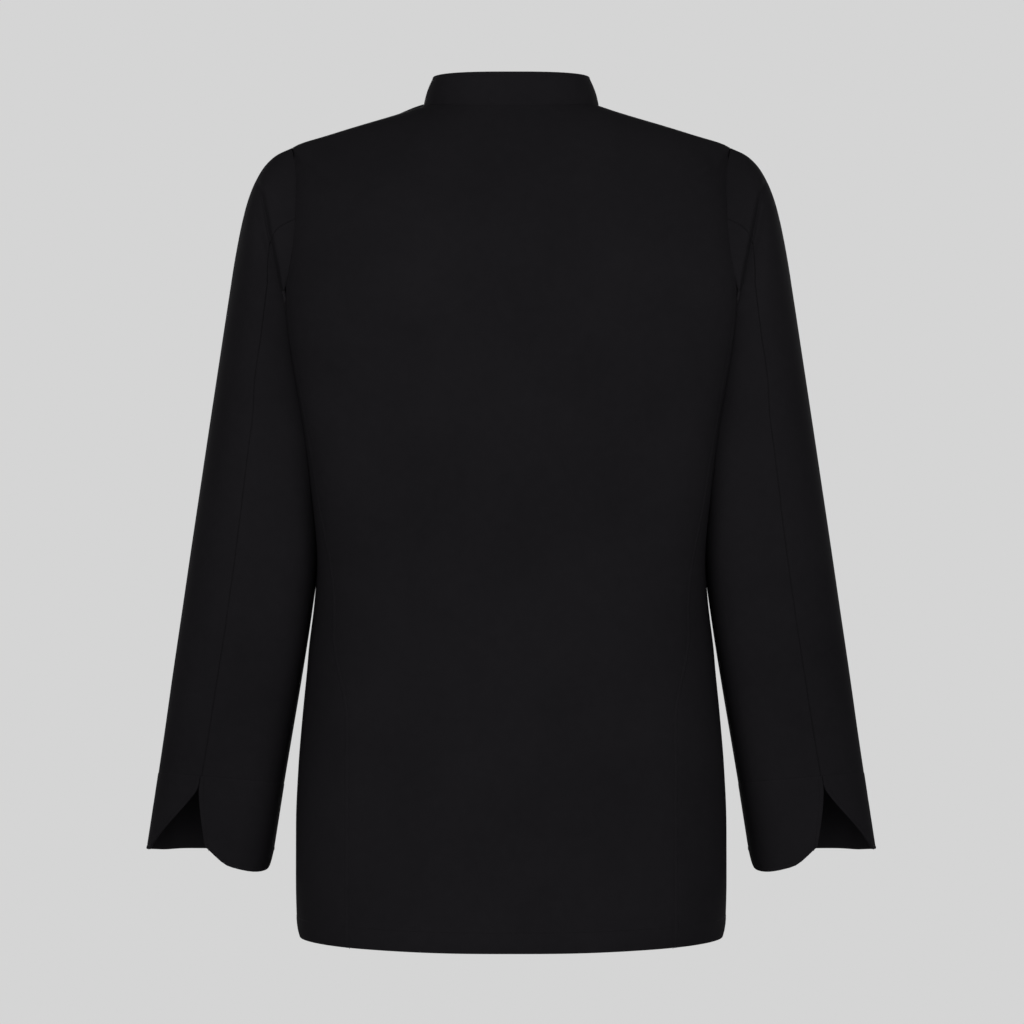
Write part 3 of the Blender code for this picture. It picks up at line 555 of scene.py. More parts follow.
def clear_of_body(points, share):
    """Holds the sleeve off the side panel, as the arm presses it there."""
    angle = np.degrees(np.arctan2(points[..., 0], points[..., 1]))
    from_side = np.clip((90 - angle) / ARMHOLE_REACH_BACK, -1, 1)
    foot_turn = 180 - np.degrees(np.arcsin(from_side))
    top = armhole(foot_turn)[1] + CLEAR_ABOVE
    levels = np.linspace(0, 1, 60)
    heights = body_point(angle[..., None], top[..., None] * levels)[..., 2]
    above = (heights < points[..., 2, None]).sum(axis=-1)
    beside = above < len(levels)
    low = np.clip(above - 1, 0, len(levels) - 2)
    low_z = np.take_along_axis(heights, low[..., None], axis=-1)[..., 0]
    high_z = np.take_along_axis(heights, low[..., None] + 1, axis=-1)[..., 0]
    part = np.clip((points[..., 2] - low_z) / (high_z - low_z), 0, 1)
    station = top * (low + part) / (len(levels) - 1)
    skin = body_point(angle, station)
    body_reach = np.hypot(skin[..., 0], skin[..., 1])
    reach = np.hypot(points[..., 0], points[..., 1])
    clear = SEAM_GAP + (CLEAR_OF_SIDE - SEAM_GAP) * np.clip(share / CLEAR_FROM, 0, 1)
    short = np.where(beside, np.clip(body_reach + clear - reach, 0, None), 0)
    points[..., :2] *= (1 + short / reach)[..., None]
    return points


# ---- Dressing a sheet of points ----
Edges = namedtuple("Edges", "start end first last")
SEWN = Edges(True, True, True, True)
HEM_FREE = Edges(False, True, True, True)
FRONT_FREE = Edges(False, True, True, False)
CUFF_SEWN = Edges(True, False, False, False)
NO_STITCHES = Edges(False, False, False, False)
BODY_STITCHED = Edges(HEM_DEPTH, False, True, True)
HEM_STITCHED = Edges(HEM_DEPTH, False, False, False)
FREE_STITCHED = Edges(False, True, True, True)


def tucked(points, sewn):
    """Carries a grid's sewn edges on a little, so that they close under their neighbours."""
    points = points.copy()
    rows = points.transpose(1, 0, 2)
    for grid, edge, beside, is_sewn in (
        (points, 0, 3, sewn.start),
        (points, -1, -4, sewn.end),
        (rows, 0, 3, sewn.first),
        (rows, -1, -4, sewn.last),
    ):
        if is_sewn:
            grid[edge] += unit(grid[edge] - grid[beside]) * SEAM_TUCK
    return points


def spread(length, folded_from=0.0, folded_to=0.0):
    """Shares from 0 to 1 along a length: close together at its ends and where it is folded."""
    near = np.array(EDGE_STEPS)
    middle = [near[-1]]
    while middle[-1] < length - near[-1] - STEP * 1.2:
        folded = folded_from <= middle[-1] < folded_to
        middle.append(middle[-1] + (FOLDED_STEP if folded else STEP))
    return np.concatenate([near, middle[1:], length - near[::-1]]) / length


def measured(points, axis):
    """How far each point lies along its row or column."""
    steps = np.linalg.norm(np.diff(points, axis=axis), axis=-1)
    start = np.zeros_like(np.take(steps, [0], axis=axis))
    return np.concatenate([start, np.cumsum(steps, axis=axis)], axis=axis)


def facing(points, like):
    """The directions square to a grid of points, on the side that like points to."""
    along = np.gradient(points, axis=0)
    across = np.gradient(points, axis=1)
    normals = unit(np.cross(along, across))
    return normals * np.sign((normals * like).sum())


def softly_creased(points, normals, creases, other_side):
    """Sinks the creases of a table into a grid of points."""
    flat = points[..., [0, 2]].copy()
    flat[..., 0] = np.abs(flat[..., 0])
    sunk = np.zeros(points.shape[:2])
    for crease in creases:
        start = np.array([crease.start_x, crease.start_z])
        run = np.array([crease.end_x, crease.end_z]) - start
        share = np.clip(((flat - start) @ run) / (run @ run), 0, 1)
        off = np.linalg.norm(flat - start - share[..., None] * run, axis=-1)
        taper = 1 - CREASE_TAPER * np.abs(2 * share - 1) ** 2
        way = 1 if crease.face == "back" else -1
        faced = np.clip(normals[..., 1] * way / CREASE_FACING, 0, 1)
        turned = np.where((points[..., 0] < 0) != other_side, crease.other_side, 1.0)
        sunk += crease.depth * turned * taper * faced * np.exp(-((off / crease.width) ** 2))
    return points - normals * sunk[..., None]


def edge_relief(off, sewn, stitched, thickness):
    """How far the cloth stands out, by the distance from one of its edges."""
    if sewn:
        depth = SEAM_DIP if sewn is True else sewn
        relief = -depth * np.exp(-((off / SEAM_ROUND) ** 2))
    else:
        inside_curve = np.clip(1 - off / (EDGE_ROUNDING * thickness), 0, 1)
        relief = -0.5 * thickness * (1 - np.sqrt(1 - inside_curve**2 + 1e-9))
    if stitched:
        depth_in = STITCH_IN if stitched is True else stitched
        over = 1 / (1 + np.exp((off - depth_in - ALLOWANCE_PAST) / ALLOWANCE_SLOPE))
        relief = relief + ALLOWANCE_RISE * over
        relief = relief - STITCH_DIP * np.exp(-(((off - depth_in) / STITCH_DIP_WIDTH) ** 2))
    return relief


def seam_share(stations):
    """How much of its side seam's relief a panel keeps at each station, as armholes lie flat."""
    return np.interp(stations, (CORNER, CORNER + 0.02), (1.0, ARMHOLE_FLATNESS))[:, None]


def dressed(points, normals, thickness, sewn, stitched, share=1.0):
    """A sheet's outer and inner points, with its edges turned, and its distances."""
    along = measured(points, 0)
    across = measured(points, 1)
    from_edge = Edges(along, along[-1:] - along, across, across[:, -1:] - across)
    relief = np.zeros(points.shape[:2])
    under = np.zeros(points.shape[:2])
    for off, is_sewn, is_stitched in zip(from_edge, sewn, stitched):
        stands = edge_relief(off, is_sewn, is_stitched, thickness)
        relief = relief + stands * (share if is_sewn else 1.0)
        if not is_sewn:
            under = under - edge_relief(off, False, False, thickness)
    outside = points + normals * relief[..., None]
    inside = points - normals * (thickness - under)[..., None]
    return outside, inside, (across - across[:, -1:] / 2, along)


def cloth_wall(name, outside, inside, laid):
    """A closed wall between two grids of points, with a UV map in metres."""
    rows, columns = outside.shape[:2]
    count = rows * columns
    outer = np.arange(count).reshape(rows, columns)
    skin = np.stack([outer[:-1, :-1], outer[1:, :-1], outer[1:, 1:], outer[:-1, 1:]], -1)
    skin = skin.reshape(-1, 4)
    rims = []
    for edge in (outer[0], outer[:, -1], outer[-1, ::-1], outer[::-1, 0]):
        low, high = edge[:-1], edge[1:]
        rims.append(np.stack([low, high, high + count, low + count], -1))
    faces = np.concatenate([skin, skin[:, ::-1] + count, *rims])
    points = np.concatenate([outside.reshape(-1, 3), inside.reshape(-1, 3)])
    mesh = bpy.data.meshes.new(name)
    mesh.from_pydata(points.tolist(), [], faces.tolist())
    across, along = (np.broadcast_to(part, (rows, columns)).ravel() for part in laid)
    corner = np.stack([across, along], -1)[faces.ravel() % count]
    cloth_map = mesh.uv_layers.new(name="cloth")
    cloth_map.data.foreach_set("uv", corner.astype(np.float32).ravel())
    wrong_side = mesh.attributes.new("wrong_side", "FLOAT", "FACE")
    sides = np.zeros(len(faces), np.float32)
    sides[len(skin) : 2 * len(skin)] = 1.0
    wrong_side.data.foreach_set("value", sides)
    mesh.shade_smooth()
    mesh.set_sharp_from_angle(angle=SHARP_CLOTH)
    return mesh


def shown(name, data):
    """A new object in the scene, at the origin."""
    made = bpy.data.objects.new(name, data)
    bpy.context.scene.collection.objects.link(made)
    return made


def as_mesh(shape, name):
    mesh = bpy.data.meshes.new(name)
    shape.to_mesh(mesh)
    shape.free()
    return mesh


def finished_mesh(piece):
    """A plain mesh of what a piece's modifiers make. The piece itself is removed."""
    made = piece.evaluated_get(bpy.context.evaluated_depsgraph_get())
    mesh = bpy.data.meshes.new_from_object(made)
    bpy.data.objects.remove(piece)
    return mesh


def place(name, mesh, material):
    """An object at the origin that moves with the jacket."""
    piece = shown(name, mesh)
    mesh.materials.clear()
    mesh.materials.append(material)
    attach(piece, "root")
    return piece


def cloth_piece(node, sheet, material, right=False):
    """Makes a cloth piece over its solid."""
    outside, inside, laid = sheet
    if right:
        outside = outside[:, ::-1] * MIRROR_X
        inside = inside[:, ::-1] * MIRROR_X
        laid = tuple(-part[:, ::-1] for part in laid)
    mesh = cloth_wall(f"cloth_{node}", outside, inside, laid)
    piece = place(f"cloth_{node}", mesh, material)
    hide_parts(node)


# ---- Sheets: each gives its points and outward directions ----
def on_body(angles, stations, sewn):
    return tucked(body_point(angles, stations), sewn), outward(angles, stations)


def back_sheet():
    stations = spread(NECK) * NECK
    share = 2 * spread(BACK_ACROSS) - 1
    edges = panel_edge(stations, 1)
    return on_body(edges[:, None] * share, stations[:, None], HEM_FREE)


def side_sheet():
    """The wearer's left side panel: its upper edge is the foot of the armhole."""
    share = spread(SIDE_ACROSS)
    turns = ARMHOLE_CORNER + (360 - 2 * ARMHOLE_CORNER) * share
    top_angles, tops = armhole(turns)

    def across(stations):
        first = panel_edge(np.minimum(stations, tops[0]), 1)
        last = panel_edge(np.minimum(stations, tops[-1]), -1)
        return first + (last - first) * share

    rows = spread(SIDE_ALONG)[:, None]
    near = np.clip((rows - LEVEL_TO) / (1 - LEVEL_TO), 0, 1)
    levels = tops * rows
    angles = np.array([across(level) for level in levels])
    angles = angles + (top_angles - across(tops)) * near
    return on_body(angles, levels, HEM_FREE)


def free_edge(stations):
    """The angles of the front's free edge, past the middle."""
    known = np.array([0.0, NECK - WIDEST_BELOW_NECK, NECK])
    widths = np.array([FRONT_EDGE_HEM, FRONT_EDGE_WIDEST, FRONT_EDGE_TOP])
    return angles_at(stations, smooth_between(known, widths, stations), *FREE_EDGE_WITHIN)


def front_sheet(lift):
    """The wearer's left front, out to its free edge. A lift raises it over the other front."""
    stations = spread(NECK) * NECK
    share = spread(FRONT_ACROSS)
    starts = panel_edge(stations, -1)
    ends = free_edge(stations)
    angles = starts[:, None] + (ends - starts)[:, None] * share
    points, normals = on_body(angles, stations[:, None], FRONT_FREE)
    ramp_in, ramp_out = OVERLAP_RAMP
    raised = np.clip((ramp_out - points[..., 0]) / (ramp_out - ramp_in), 0, 1)
    raised = raised * raised * (3 - 2 * raised)
    return points + normals * (lift * raised)[..., None], normals


def sleeve_sheet(root, wrist, folded):
    """Part of the left sleeve between two turns at the armhole and two at the wrist."""
    share = spread(SLEEVE_ACROSS, *folded)
    shares = spread(SLEEVE_ALONG, 0.0, FOLDED_LENGTH)[:, None]
    settled = np.clip(shares / SEAMS_SETTLE, 0, 1)
    root_turns = root[0] + (root[1] - root[0]) * share
    wrist_turns = wrist[0] + (wrist[1] - wrist[0]) * share
    turns = root_turns + (wrist_turns - root_turns) * settled
    swing_at, swing = np.array(BACK_SEAM_SWING).T
    to_back_seam = share if root[1] == BACK_SEAM_ROOT else 1 - share
    turns = turns + smooth_between(swing_at, swing, shares) * to_back_seam
    points = sleeve_point(turns, shares)
    middle = arm_point(turns + 180, shares) - arm_point(turns, shares)
    normals = facing(points, -middle)
    points = tucked(points, SEWN)
    lifted = folded_over(root_turns)[:, None]
    points[0] -= outward(*armhole(root_turns)) * (FOLD_LIFT + ROOT_TUCK) * lifted
    return points, normals


def cuff_sheet():
    """The left cuff, from the vent's outer edge round the front to its inner edge."""
    lean = unit(np.array(CUFF_LEAN))
    rows = np.linspace(0, 1, len(CUFF))
    around = 1 - spread(CUFF_ACROSS)
    turn = smooth_between(rows, column(CUFF, "turn"), around)
    hem_turn = smooth_between(rows, column(CUFF, "hem_turn"), around)
    depth = smooth_between(rows, column(CUFF, "depth"), around)
    ring = sleeve_point(turn, np.ones_like(turn))
    points = []
    for drop in spread(CUFF_ALONG):
        down = drop * depth
        open_share = np.clip((down - VENT_TOP) / (depth - VENT_TOP), 0, 1) ** VENT_CURVE
        turns = turn + (hem_turn - turn) * open_share
        wrist = sleeve_point(turns, np.ones_like(turns))
        points.append(wrist + lean * (down + SEAM_GAP)[:, None])
    points = np.array(points)
    normals = facing(points, points - ring.mean(axis=0))
    return tucked(points, CUFF_SEWN) + normals * CUFF_STANDS, normals


def collar_sheet():
    """The collar, from its end on the wearer's right round the back to the other end."""

    def ring_of(section, angles):
        return section_point(lambda name: np.float64(getattr(section, name)), angles)

    foot_size = BODY[-1]
    share = 2 * spread(COLLAR_ACROSS) - 1
    points = []
    normals = []
    for rise in spread(COLLAR_ALONG):
        corner = max(0.0, COLLAR_HEIGHT * rise - (COLLAR_HEIGHT - COLLAR_CORNER))
        end_in = COLLAR_END_GAP / 2 + COLLAR_CORNER - math.sqrt(COLLAR_CORNER**2 - corner**2)
        angles = share * (180 - math.degrees(end_in / foot_size.front_y))
        foot = ring_of(foot_size, angles) + np.array([0, 0, COLLAR_SEAT])
        top = ring_of(COLLAR_TOP, angles)
        round_neck = ring_of(COLLAR_TOP, angles + 0.5) - ring_of(COLLAR_TOP, angles - 0.5)
        normals.append(unit(np.cross(top - foot, round_neck)))
        swell = COLLAR_SWELL * math.sin(math.pi * rise)
        points.append(foot + (top - foot) * rise + normals[-1] * swell)
    return tucked(np.array(points), CUFF_SEWN), np.array(normals)


# ---- Nodes ----
def feed(tree, socket, value):
    """Links a value to a node's socket, or sets it there."""
    value = getattr(value, "socket", value)
    if isinstance(value, bpy.types.NodeSocket):
        tree.links.new(value, socket)
    else:
        socket.default_value = value


def add_node(tree, kind, settings, values):
    made = tree.nodes.new(kind)
    for key, value in dict(settings).items():
        setattr(made, key, value)
    for key, value in dict(values).items():
        feed(tree, made.inputs[key], value)
    return made


# ---- Stitching ----
def line_at(sheet, normals, edge, inset):
    """The points and directions of a line that runs inset from one edge of a sheet."""
    outside, _, (across, along) = sheet
    if edge in ("start", "end"):
        off = along if edge == "start" else along[-1:] - along
        off, outside, normals = off.T, outside.transpose(1, 0, 2), normals.transpose(1, 0, 2)
    else:
        off = across - across[:, :1] if edge == "first" else across[:, -1:] - across
        off = np.broadcast_to(off, outside.shape[:2])
    line = []
    ways = []
    for row_off, row, row_ways in zip(off, outside, normals):
        order = np.argsort(row_off)
        line.append([np.interp(inset, row_off[order], row[order, k]) for k in range(3)])
        ways.append([np.interp(inset, row_off[order], row_ways[order, k]) for k in range(3)])
    return np.array(line), unit(np.array(ways))


def free_lines(sheet, normals):
    """The lines of stitches along a cuff's or the collar's three free edges."""
    return [line_at(sheet, normals, edge, STITCH_IN) for edge in ("end", "first", "last")]


def stitch_tree(material):
    """Geometry nodes that lay one stitch after another along each line of a mesh."""
    tree = bpy.data.node_groups.new("stitching", "GeometryNodeTree")
    face = tree.interface
    face.new_socket("Lines", in_out="INPUT", socket_type="NodeSocketGeometry")
    defaults = {"Pitch": STITCH_PITCH, "Length": STITCH_LENGTH, "Radius": STITCH_RADIUS}
    for name, value in defaults.items():
        socket = face.new_socket(name, in_out="INPUT", socket_type="NodeSocketFloat")
        socket.default_value = value
    face.new_socket("Stitches", in_out="OUTPUT", socket_type="NodeSocketGeometry")

    def node(kind, settings=(), links=()):
        return add_node(tree, kind, settings, links)

    sizes_in = node("NodeGroupInput")
    lines = node("GeometryNodeMeshToCurve", links={"Mesh": sizes_in.outputs["Lines"]})
    evenly = node(
        "GeometryNodeResampleCurve",
        {"mode": "LENGTH"},
        {"Curve": lines.outputs["Curve"], "Length": sizes_in.outputs["Pitch"]},
    )
    thread = node(
        "GeometryNodeMeshUVSphere",
        links={"Segments": 6, "Rings": 4, "Radius": sizes_in.outputs["Radius"]},
    )
    slender = node(
        "ShaderNodeMath",
        {"operation": "DIVIDE"},
        {0: sizes_in.outputs["Length"], 1: sizes_in.outputs["Radius"]},
    )
    half = node("ShaderNodeMath", {"operation": "MULTIPLY"}, {0: slender.outputs[0], 1: 0.5})
    sizes = {"X": STITCH_FLATNESS, "Y": 1.0, "Z": half.outputs[0]}
    shape = node("ShaderNodeCombineXYZ", links=sizes)
    stitch = node(
        "GeometryNodeTransform",
        links={"Geometry": thread.outputs["Mesh"], "Scale": shape.outputs[0]},
    )
    tangent = node("GeometryNodeInputTangent")
    way = node(
        "GeometryNodeInputNamedAttribute", {"data_type": "FLOAT_VECTOR"}, {"Name": "way_out"}
    )
    along = node(
        "FunctionNodeAlignRotationToVector", {"axis": "Z"}, {"Vector": tangent.outputs["Tangent"]}
    )
    square = node(
        "FunctionNodeAlignRotationToVector",
        {"axis": "Y", "pivot_axis": "Z"},
        {"Rotation": along.outputs["Rotation"], "Vector": way.outputs["Attribute"]},
    )
    laid = node(
        "GeometryNodeInstanceOnPoints",
        links={
            "Points": evenly.outputs["Curve"],
            "Instance": stitch.outputs["Geometry"],
            "Rotation": square.outputs["Rotation"],
        },
    )
    real = node("GeometryNodeRealizeInstances", links={"Geometry": laid.outputs["Instances"]})
    coloured = node(
        "GeometryNodeSetMaterial",
        links={"Geometry": real.outputs["Geometry"], "Material": material},
    )
    out = node("NodeGroupOutput")
    tree.links.new(coloured.outputs["Geometry"], out.inputs["Stitches"])
    return tree


def stitches(name, lines, tree, material):
    """Sews along lines of points, each with its outward directions."""
    points = np.concatenate([line for line, _ in lines])
    ways = np.concatenate([way for _, way in lines])
    edges = []
    start = 0
    for line, _ in lines:
        edges += [(i, i + 1) for i in range(start, start + len(line) - 1)]
        start += len(line)
    path = bpy.data.meshes.new(f"{name}_path")
    path.from_pydata(points.tolist(), edges, [])
    way_out = path.attributes.new("way_out", "FLOAT_VECTOR", "POINT")
    way_out.data.foreach_set("vector", ways.astype(np.float32).ravel())
    carrier = shown(f"{name}_path", path)
    carrier.modifiers.new("sewing", "NODES").node_group = tree
    mesh = finished_mesh(carrier)
    mesh.name = name
    mesh.shade_smooth()
    place(name, mesh, material)


def mirrored(line):
    points, ways = line
    return points * MIRROR_X, ways * MIRROR_X


# ---- Buttons ----
def round_bar(shape, radius, length, sides, at):
    bmesh.ops.create_cone(
        shape, cap_ends=True, segments=sides,
        radius1=radius, radius2=radius, depth=length, matrix=at,
    )


def button_shape():
    """One button in its own space: a dished disc with a rim and four holes."""
    shape = bmesh.new()
    last = None
    for radius, level in BUTTON_PROFILE:
        vert = shape.verts.new((radius, 0, level * BUTTON_HEIGHT))
        if last is not None:
            shape.edges.new((last, vert))
        last = vert
    bmesh.ops.spin(
        shape, geom=shape.verts[:] + shape.edges[:], axis=(0, 0, 1), cent=(0, 0, 0),
        angle=2 * math.pi, steps=BUTTON_SIDES, use_duplicate=False,
    )
    bmesh.ops.remove_doubles(shape, verts=shape.verts, dist=1e-5)
    bmesh.ops.recalc_face_normals(shape, faces=shape.faces)
    disc = shown("button", as_mesh(shape, "button"))
    holes = bmesh.new()
    for quarter in range(4):
        turn = math.pi / 4 + quarter * math.pi / 2
        spot = Vector((math.cos(turn), math.sin(turn), 0)) * BUTTON_HOLE_OUT
        place_at = Matrix.Translation(spot)
        round_bar(holes, BUTTON_HOLE_RADIUS, BUTTON_HEIGHT * 1.6, BUTTON_HOLE_SIDES, place_at)
    drill = shown("drill", as_mesh(holes, "drill"))
    disc.modifiers.new("holes", "BOOLEAN").object = drill
    mesh = finished_mesh(disc)
    bpy.data.objects.remove(drill)
    return mesh


def thread_shape():
    """The two bars of thread that cross the button's middle from hole to hole."""
    shape = bmesh.new()
    turn = Matrix.Rotation(math.pi / 2, 4, "Y")
    reach = BUTTON_HOLE_OUT * math.sqrt(2)
    for side in (-1, 1):
        for strand in (-1, 0, 1):
            aside = side * reach / 2 + strand * THREAD_SPACING
            spot = Matrix.Translation((0, aside, BUTTON_HEIGHT * THREAD_LEVEL))
            round_bar(shape, THREAD_RADIUS, reach * 1.15, THREAD_SIDES, spot @ turn)
    return as_mesh(shape, "button_thread")


def on_front(x, z):
    """The angle and station of the point on the body's front at this x and z."""
    angles = np.linspace(120, 240, 241)
    stations = np.linspace(0, NECK, 400)
    angle = 180.0
    for _ in range(4):
        heights = body_point(angle, stations)[:, 2]
        station = float(np.interp(z, heights, stations))
        angle = float(np.interp(-x, -body_point(angles, station)[:, 0], angles))
    return np.array([angle]), np.array([station])


def button_seat(x, z, out):
    """The turn and place of something that lies on the over front."""
    angle, station = on_front(x, z)
    normal = Vector(outward(angle, station)[0].tolist())
    seat = Vector(body_point(angle, station)[0].tolist()) + normal * out
    return Matrix.Translation(seat) @ normal.to_track_quat("Z", "Y").to_matrix().to_4x4()


def buttonhole(x, z):
    """A slim oval of satin stitches under a button, as a line with outward directions."""
    place_at = button_seat(x, z, OVERLAP_LIFT + BUTTONHOLE_LIFT)
    turns = np.linspace(0, 2 * math.pi, 49)
    line = []
    for turn in turns:
        squared = math.copysign(abs(math.cos(turn)) ** BUTTONHOLE_SQUARE, math.cos(turn))
        along = squared * BUTTONHOLE_LENGTH / 2
        aside = math.sin(turn) * BUTTONHOLE_WIDTH / 2
        line.append(place_at @ Vector((along, aside, 0)))
    way = place_at.to_3x3() @ Vector((0, 0, 1))
    return np.array([tuple(point) for point in line]), np.tile(np.array(way), (len(line), 1))


# ---- Materials ----
class Sum:
    """A number or colour that is worked out by shader nodes."""

    def __init__(self, maker, socket):
        self.maker = maker
        self.socket = socket

    def _with(self, other, operation):
        return self.maker.node("ShaderNodeMath", {"operation": operation}, {0: self, 1: other})

    def __add__(self, other):
        return self._with(other, "ADD")

    __radd__ = __add__

    def __sub__(self, other):
        return self._with(other, "SUBTRACT")

    def __mul__(self, other):
        return self._with(other, "MULTIPLY")


class Finish:
    """A material under construction."""

    def __init__(self, name):
        self.material = bpy.data.materials.new(name)
        self.material.use_nodes = True
        self.tree = self.material.node_tree
        self.shader = self.tree.nodes["Principled BSDF"]

    def node(self, kind, settings=(), values=(), output=0):
        return Sum(self, add_node(self.tree, kind, settings, values).outputs[output])

    def set(self, **values):
        for key, value in values.items():
            feed(self.tree, self.shader.inputs[key.replace("_", " ")], value)

    def between(self, factor, low, high):
        return self.node(
            "ShaderNodeMix",
            {"data_type": "RGBA"},
            {"Factor": factor, "A": (*low, 1), "B": (*high, 1)},
            output=2,
        )

    def mottled(self, vector, scale, detail, roughness=0.5):
        sizes = {"Vector": vector, "Scale": scale, "Detail": detail, "Roughness": roughness}
        return self.node("ShaderNodeTexNoise", {}, sizes)


def twill_finish():
    """Matte black twill: fine slanting ribs, threads of slightly uneven colour."""
    finish = Finish("black_twill")
    laid = finish.node("ShaderNodeUVMap", {"uv_map": "cloth"})
    across = finish.node("ShaderNodeSeparateXYZ", {}, {0: laid})
    along = Sum(finish, across.socket.node.outputs[1])
    ribs = finish.node("ShaderNodeMath", {"operation": "SINE"}, {0: (across + along) * RIB_TURNS})
    place_of = finish.node("ShaderNodeTexCoord", output=3)
    threads = finish.mottled(laid, THREADS_IN_UNIT, 2.0)
    cloudy = finish.mottled(place_of, CLOUDS_IN_UNIT, 3.0, 0.55)
    slubs = finish.mottled(place_of, SLUBS_IN_UNIT, 2.0)
    shade = cloudy * 0.75 + threads * 0.45 + ribs * 0.06 + slubs * 0.30 - 0.25
    inner = finish.node("ShaderNodeAttribute", {"attribute_name": "wrong_side"}, output=2)
    # Inner faces are painted paler: partly the twill's paler back, partly painted light in the
    # shaded insides.
    colour = finish.between(shade + inner * WRONG_SIDE_PALER_AND_PAINTED_LIGHT, TWILL_DARK, TWILL_LIGHT)
    height = ribs * 0.5 + threads * 0.6 + slubs * 0.5
    bump = finish.node(
        "ShaderNodeBump", {}, {"Strength": 0.35, "Distance": WEAVE_HEIGHT, "Height": height}
    )
    finish.set(Base_Color=colour, Roughness=TWILL_ROUGHNESS + cloudy * 0.06, Normal=bump)
    finish.set(Specular_IOR_Level=TWILL_GLOSS)
    return finish.material


def thread_finish():
    finish = Finish("black_thread")
    ply = finish.mottled(finish.node("ShaderNodeTexCoord", output=3), 2600.0, 1.0)
    finish.set(Base_Color=finish.between(ply, THREAD_DARK, THREAD_LIGHT))
    finish.set(Roughness=THREAD_ROUGHNESS + ply * 0.1, Specular_IOR_Level=THREAD_GLOSS)
    return finish.material


def button_finish():
    finish = Finish("button_black")
    haze = finish.mottled(finish.node("ShaderNodeTexCoord", output=3), 350.0, 3.0)
    finish.set(Base_Color=finish.between(haze, BUTTON_DARK, BUTTON_LIGHT))
    finish.set(Roughness=BUTTON_ROUGHNESS + haze * 0.16, Specular_IOR_Level=BUTTON_GLOSS)
    return finish.material


# ---- Stage ----
def backdrop_finish():
    finish = Finish("pale_floor")
    finish.set(Base_Color=(0, 0, 0, 1), Roughness=1.0, Specular_IOR_Level=0.0)
    finish.set(Emission_Color=(*[BACKDROP_GREY] * 3, 1), Emission_Strength=1.0)
    return finish.material


def area_light(name, at, power):
    lamp = bpy.data.lights.new(name, "AREA")
    lamp.shape = "RECTANGLE"
    lamp.size, lamp.size_y = LIGHT_SIZE
    lamp.energy = power
    light = shown(name, lamp)
    light.visible_camera = False
    light.location = at
    light.rotation_euler = (Vector(LIGHTS_AIM) - Vector(at)).to_track_quat("-Z", "Y").to_euler()


def make_stage():
    scene = bpy.context.scene
    scene.view_settings.view_transform = "Standard"
    scene.view_settings.look = "None"
    world = bpy.data.worlds.new("studio")
    world.use_nodes = True
    world.node_tree.nodes["Background"].inputs["Color"].default_value = (*[BACKDROP_GREY] * 3, 1)
    scene.world = world
    shape = bmesh.new()
    bmesh.ops.create_grid(shape, x_segments=1, y_segments=1, size=30)
    mesh = as_mesh(shape, "floor")
    mesh.transform(Matrix.Translation((0, 0, FLOOR_Z)))
    mesh.materials.append(backdrop_finish())
    shown("floor", mesh)
    for name, at, power in LIGHTS:
        area_light(name, at, power)
    camera = shown("camera", bpy.data.cameras.new("camera"))
    camera.data.lens = CAMERA_LENS
    camera.data.sensor_width = 36.0
    camera.location = CAMERA_AT
    camera.rotation_euler = (math.pi / 2, 0, math.pi)
    scene.camera = camera


# ---- Putting the jacket together ----
def make_body(twill):
    """The back and both fronts. Gives the lines along which they are topstitched."""
    points, normals = back_sheet()
    points = softly_creased(points, normals, BACK_CREASES, False)
    flat = seam_share(spread(NECK) * NECK)
    below = int((flat[:, 0] > 0.99).sum())
    back = dressed(points, normals, CLOTH, HEM_FREE, BODY_STITCHED, flat)
    cloth_piece("back_panel", back, twill)
    lines = [line_at(back, normals, "start", HEM_DEPTH)]
    for edge in ("first", "last"):
        line, ways = line_at(back, normals, edge, STITCH_IN)
        lines.append((line[:below], ways[:below]))
    for node, lift, right in (("front_left", OVERLAP_LIFT, False), ("front_right", 0.0, True)):
        points, normals = front_sheet(lift)
        points = softly_creased(points, normals, FRONT_CREASES, right)
        front = dressed(points, normals, CLOTH, FRONT_FREE, BODY_STITCHED, flat)
        cloth_piece(node, front, twill, right)
        line, ways = line_at(front, normals, "first", STITCH_IN)
        front_lines = [
            (line[:below], ways[:below]),
            line_at(front, normals, "last", STITCH_IN),
            line_at(front, normals, "start", HEM_DEPTH),
        ]
        lines += [mirrored(line) for line in front_lines] if right else front_lines
    return lines


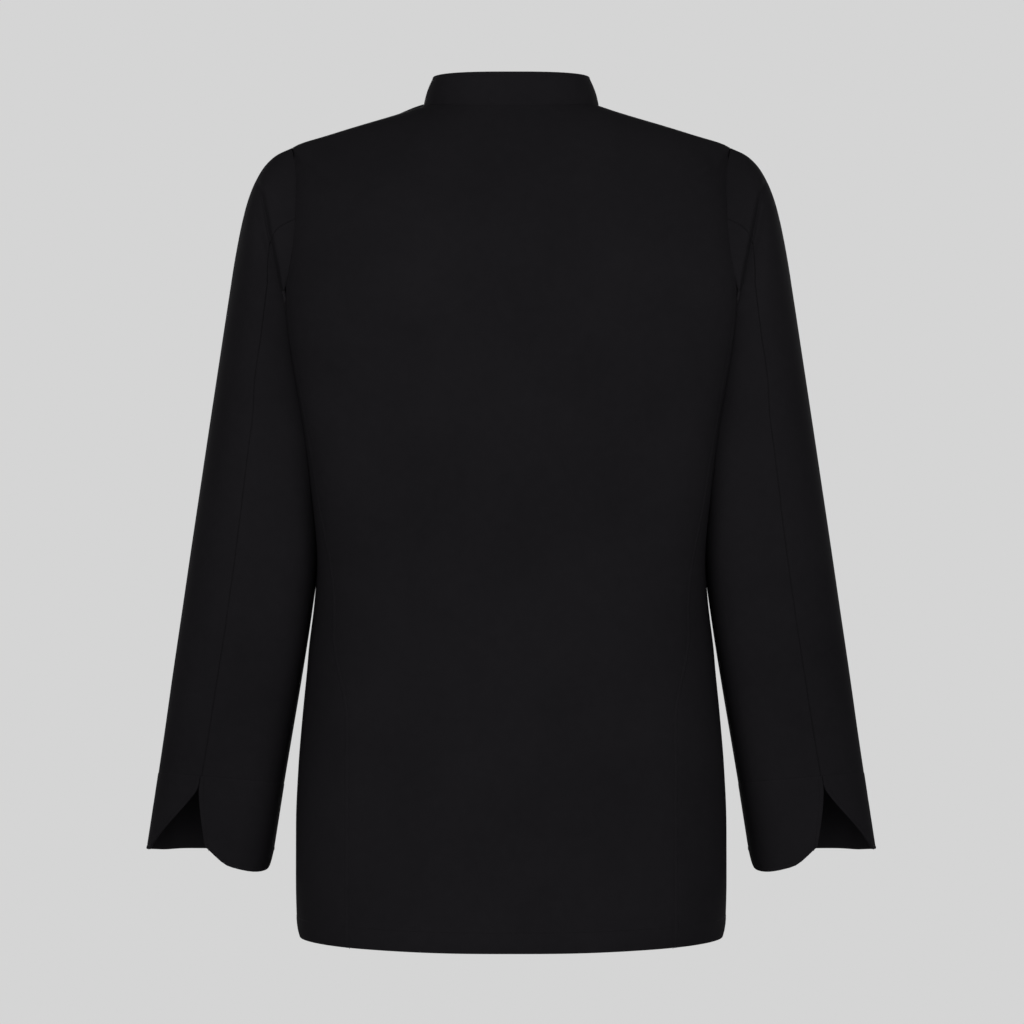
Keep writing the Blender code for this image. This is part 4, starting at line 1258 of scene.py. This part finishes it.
def make_sides_and_sleeves(twill):
    """Side panels, sleeves and cuffs. Gives the side panels' lines and the cuffs' lines."""
    points, normals = side_sheet()
    side = dressed(points, normals, CLOTH, HEM_FREE, HEM_STITCHED)
    side_line = line_at(side, normals, "start", HEM_DEPTH)
    upper_turns = (-ARMHOLE_CORNER, BACK_SEAM_ROOT), (FRONT_SEAM_TURN, BACK_SEAM_TURN)
    under_turns = (BACK_SEAM_ROOT, 360 - ARMHOLE_CORNER), (BACK_SEAM_TURN, 360 + FRONT_SEAM_TURN)
    sleeves = []
    for (root, wrist), folded, seams in (
        (upper_turns, UPPER_FOLDED, Edges(ARMHOLE_DIP, True, True, BACK_SEAM_DIP)),
        (under_turns, UNDER_FOLDED, Edges(ARMHOLE_DIP, True, BACK_SEAM_DIP, True)),
    ):
        points, normals = sleeve_sheet(root, wrist, folded)
        points = softly_creased(points, normals, SLEEVE_CREASES, False)
        sleeves.append(dressed(points, normals, CLOTH, seams, NO_STITCHES))
    upper, under = sleeves
    points, normals = cuff_sheet()
    cuff = dressed(points, normals, CUFF_CLOTH, CUFF_SEWN, FREE_STITCHED)
    cuff_lines = free_lines(cuff, normals)
    for hand, right in (("left", False), ("right", True)):
        for name, sheet, cut, hangs_from in (
            ("side_panel", side, SIDE_CUT, "back_panel"),
            ("upper_sleeve", upper, UPPER_SLEEVE_CUT, "back_panel"),
            ("under_sleeve", under, UNDER_SLEEVE_CUT, "back_panel"),
            ("cuff", cuff, CUFF_CUT, f"upper_sleeve_{hand}"),
        ):
            cloth_piece(f"{name}_{hand}", sheet, twill, right)
    side_lines = [side_line, mirrored(side_line)]
    return side_lines, cuff_lines + [mirrored(line) for line in cuff_lines]


def make_collar(twill):
    points, normals = collar_sheet()
    collar = dressed(points, normals, COLLAR_CLOTH, CUFF_SEWN, FREE_STITCHED)
    cloth_piece("collar_stand", collar, twill)
    return free_lines(collar, normals)


def make_buttons(thread, sewing):
    """Two rows of buttons on the over front, and the buttonholes of the wearer's right row."""
    plastic = button_finish()
    disc = button_shape()
    bars = thread_shape()
    holes = []
    for row in range(BUTTON_ROWS):
        share = row / (BUTTON_ROWS - 1)
        x = TOP_BUTTON_X + (LOW_BUTTON_X - TOP_BUTTON_X) * share
        z = TOP_BUTTON_Z - BUTTON_PITCH * row
        for hand, side_x in (("left", x), ("right", -x)):
            seat = button_seat(side_x, z, OVERLAP_LIFT + BUTTON_SEAT + BUTTON_HEIGHT / 2)
            mesh = disc.copy()
            mesh.transform(seat)
            mesh.shade_smooth()
            mesh.set_sharp_from_angle(angle=SHARP_BUTTON)
            button = place(f"sewn_button_{hand}_{row + 1}", mesh, plastic)
            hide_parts(f"button_{hand}_{row + 1}")
            tie = bars.copy()
            tie.transform(seat)
            place(f"button_thread_{hand}_{row + 1}", tie, thread)
        holes.append(buttonhole(-x, z))
    stitches("buttonholes", holes, sewing, thread)


def make_jacket():
    twill = twill_finish()
    thread = thread_finish()
    sewing = stitch_tree(thread)
    body_lines = make_body(twill)
    side_lines, cuff_lines = make_sides_and_sleeves(twill)
    body_lines += side_lines + make_collar(twill)
    stitches("stitching_body", body_lines, sewing, thread)
    stitches("stitching_sleeves", cuff_lines, sewing, thread)
    make_buttons(thread, sewing)


make_jacket()
make_stage()
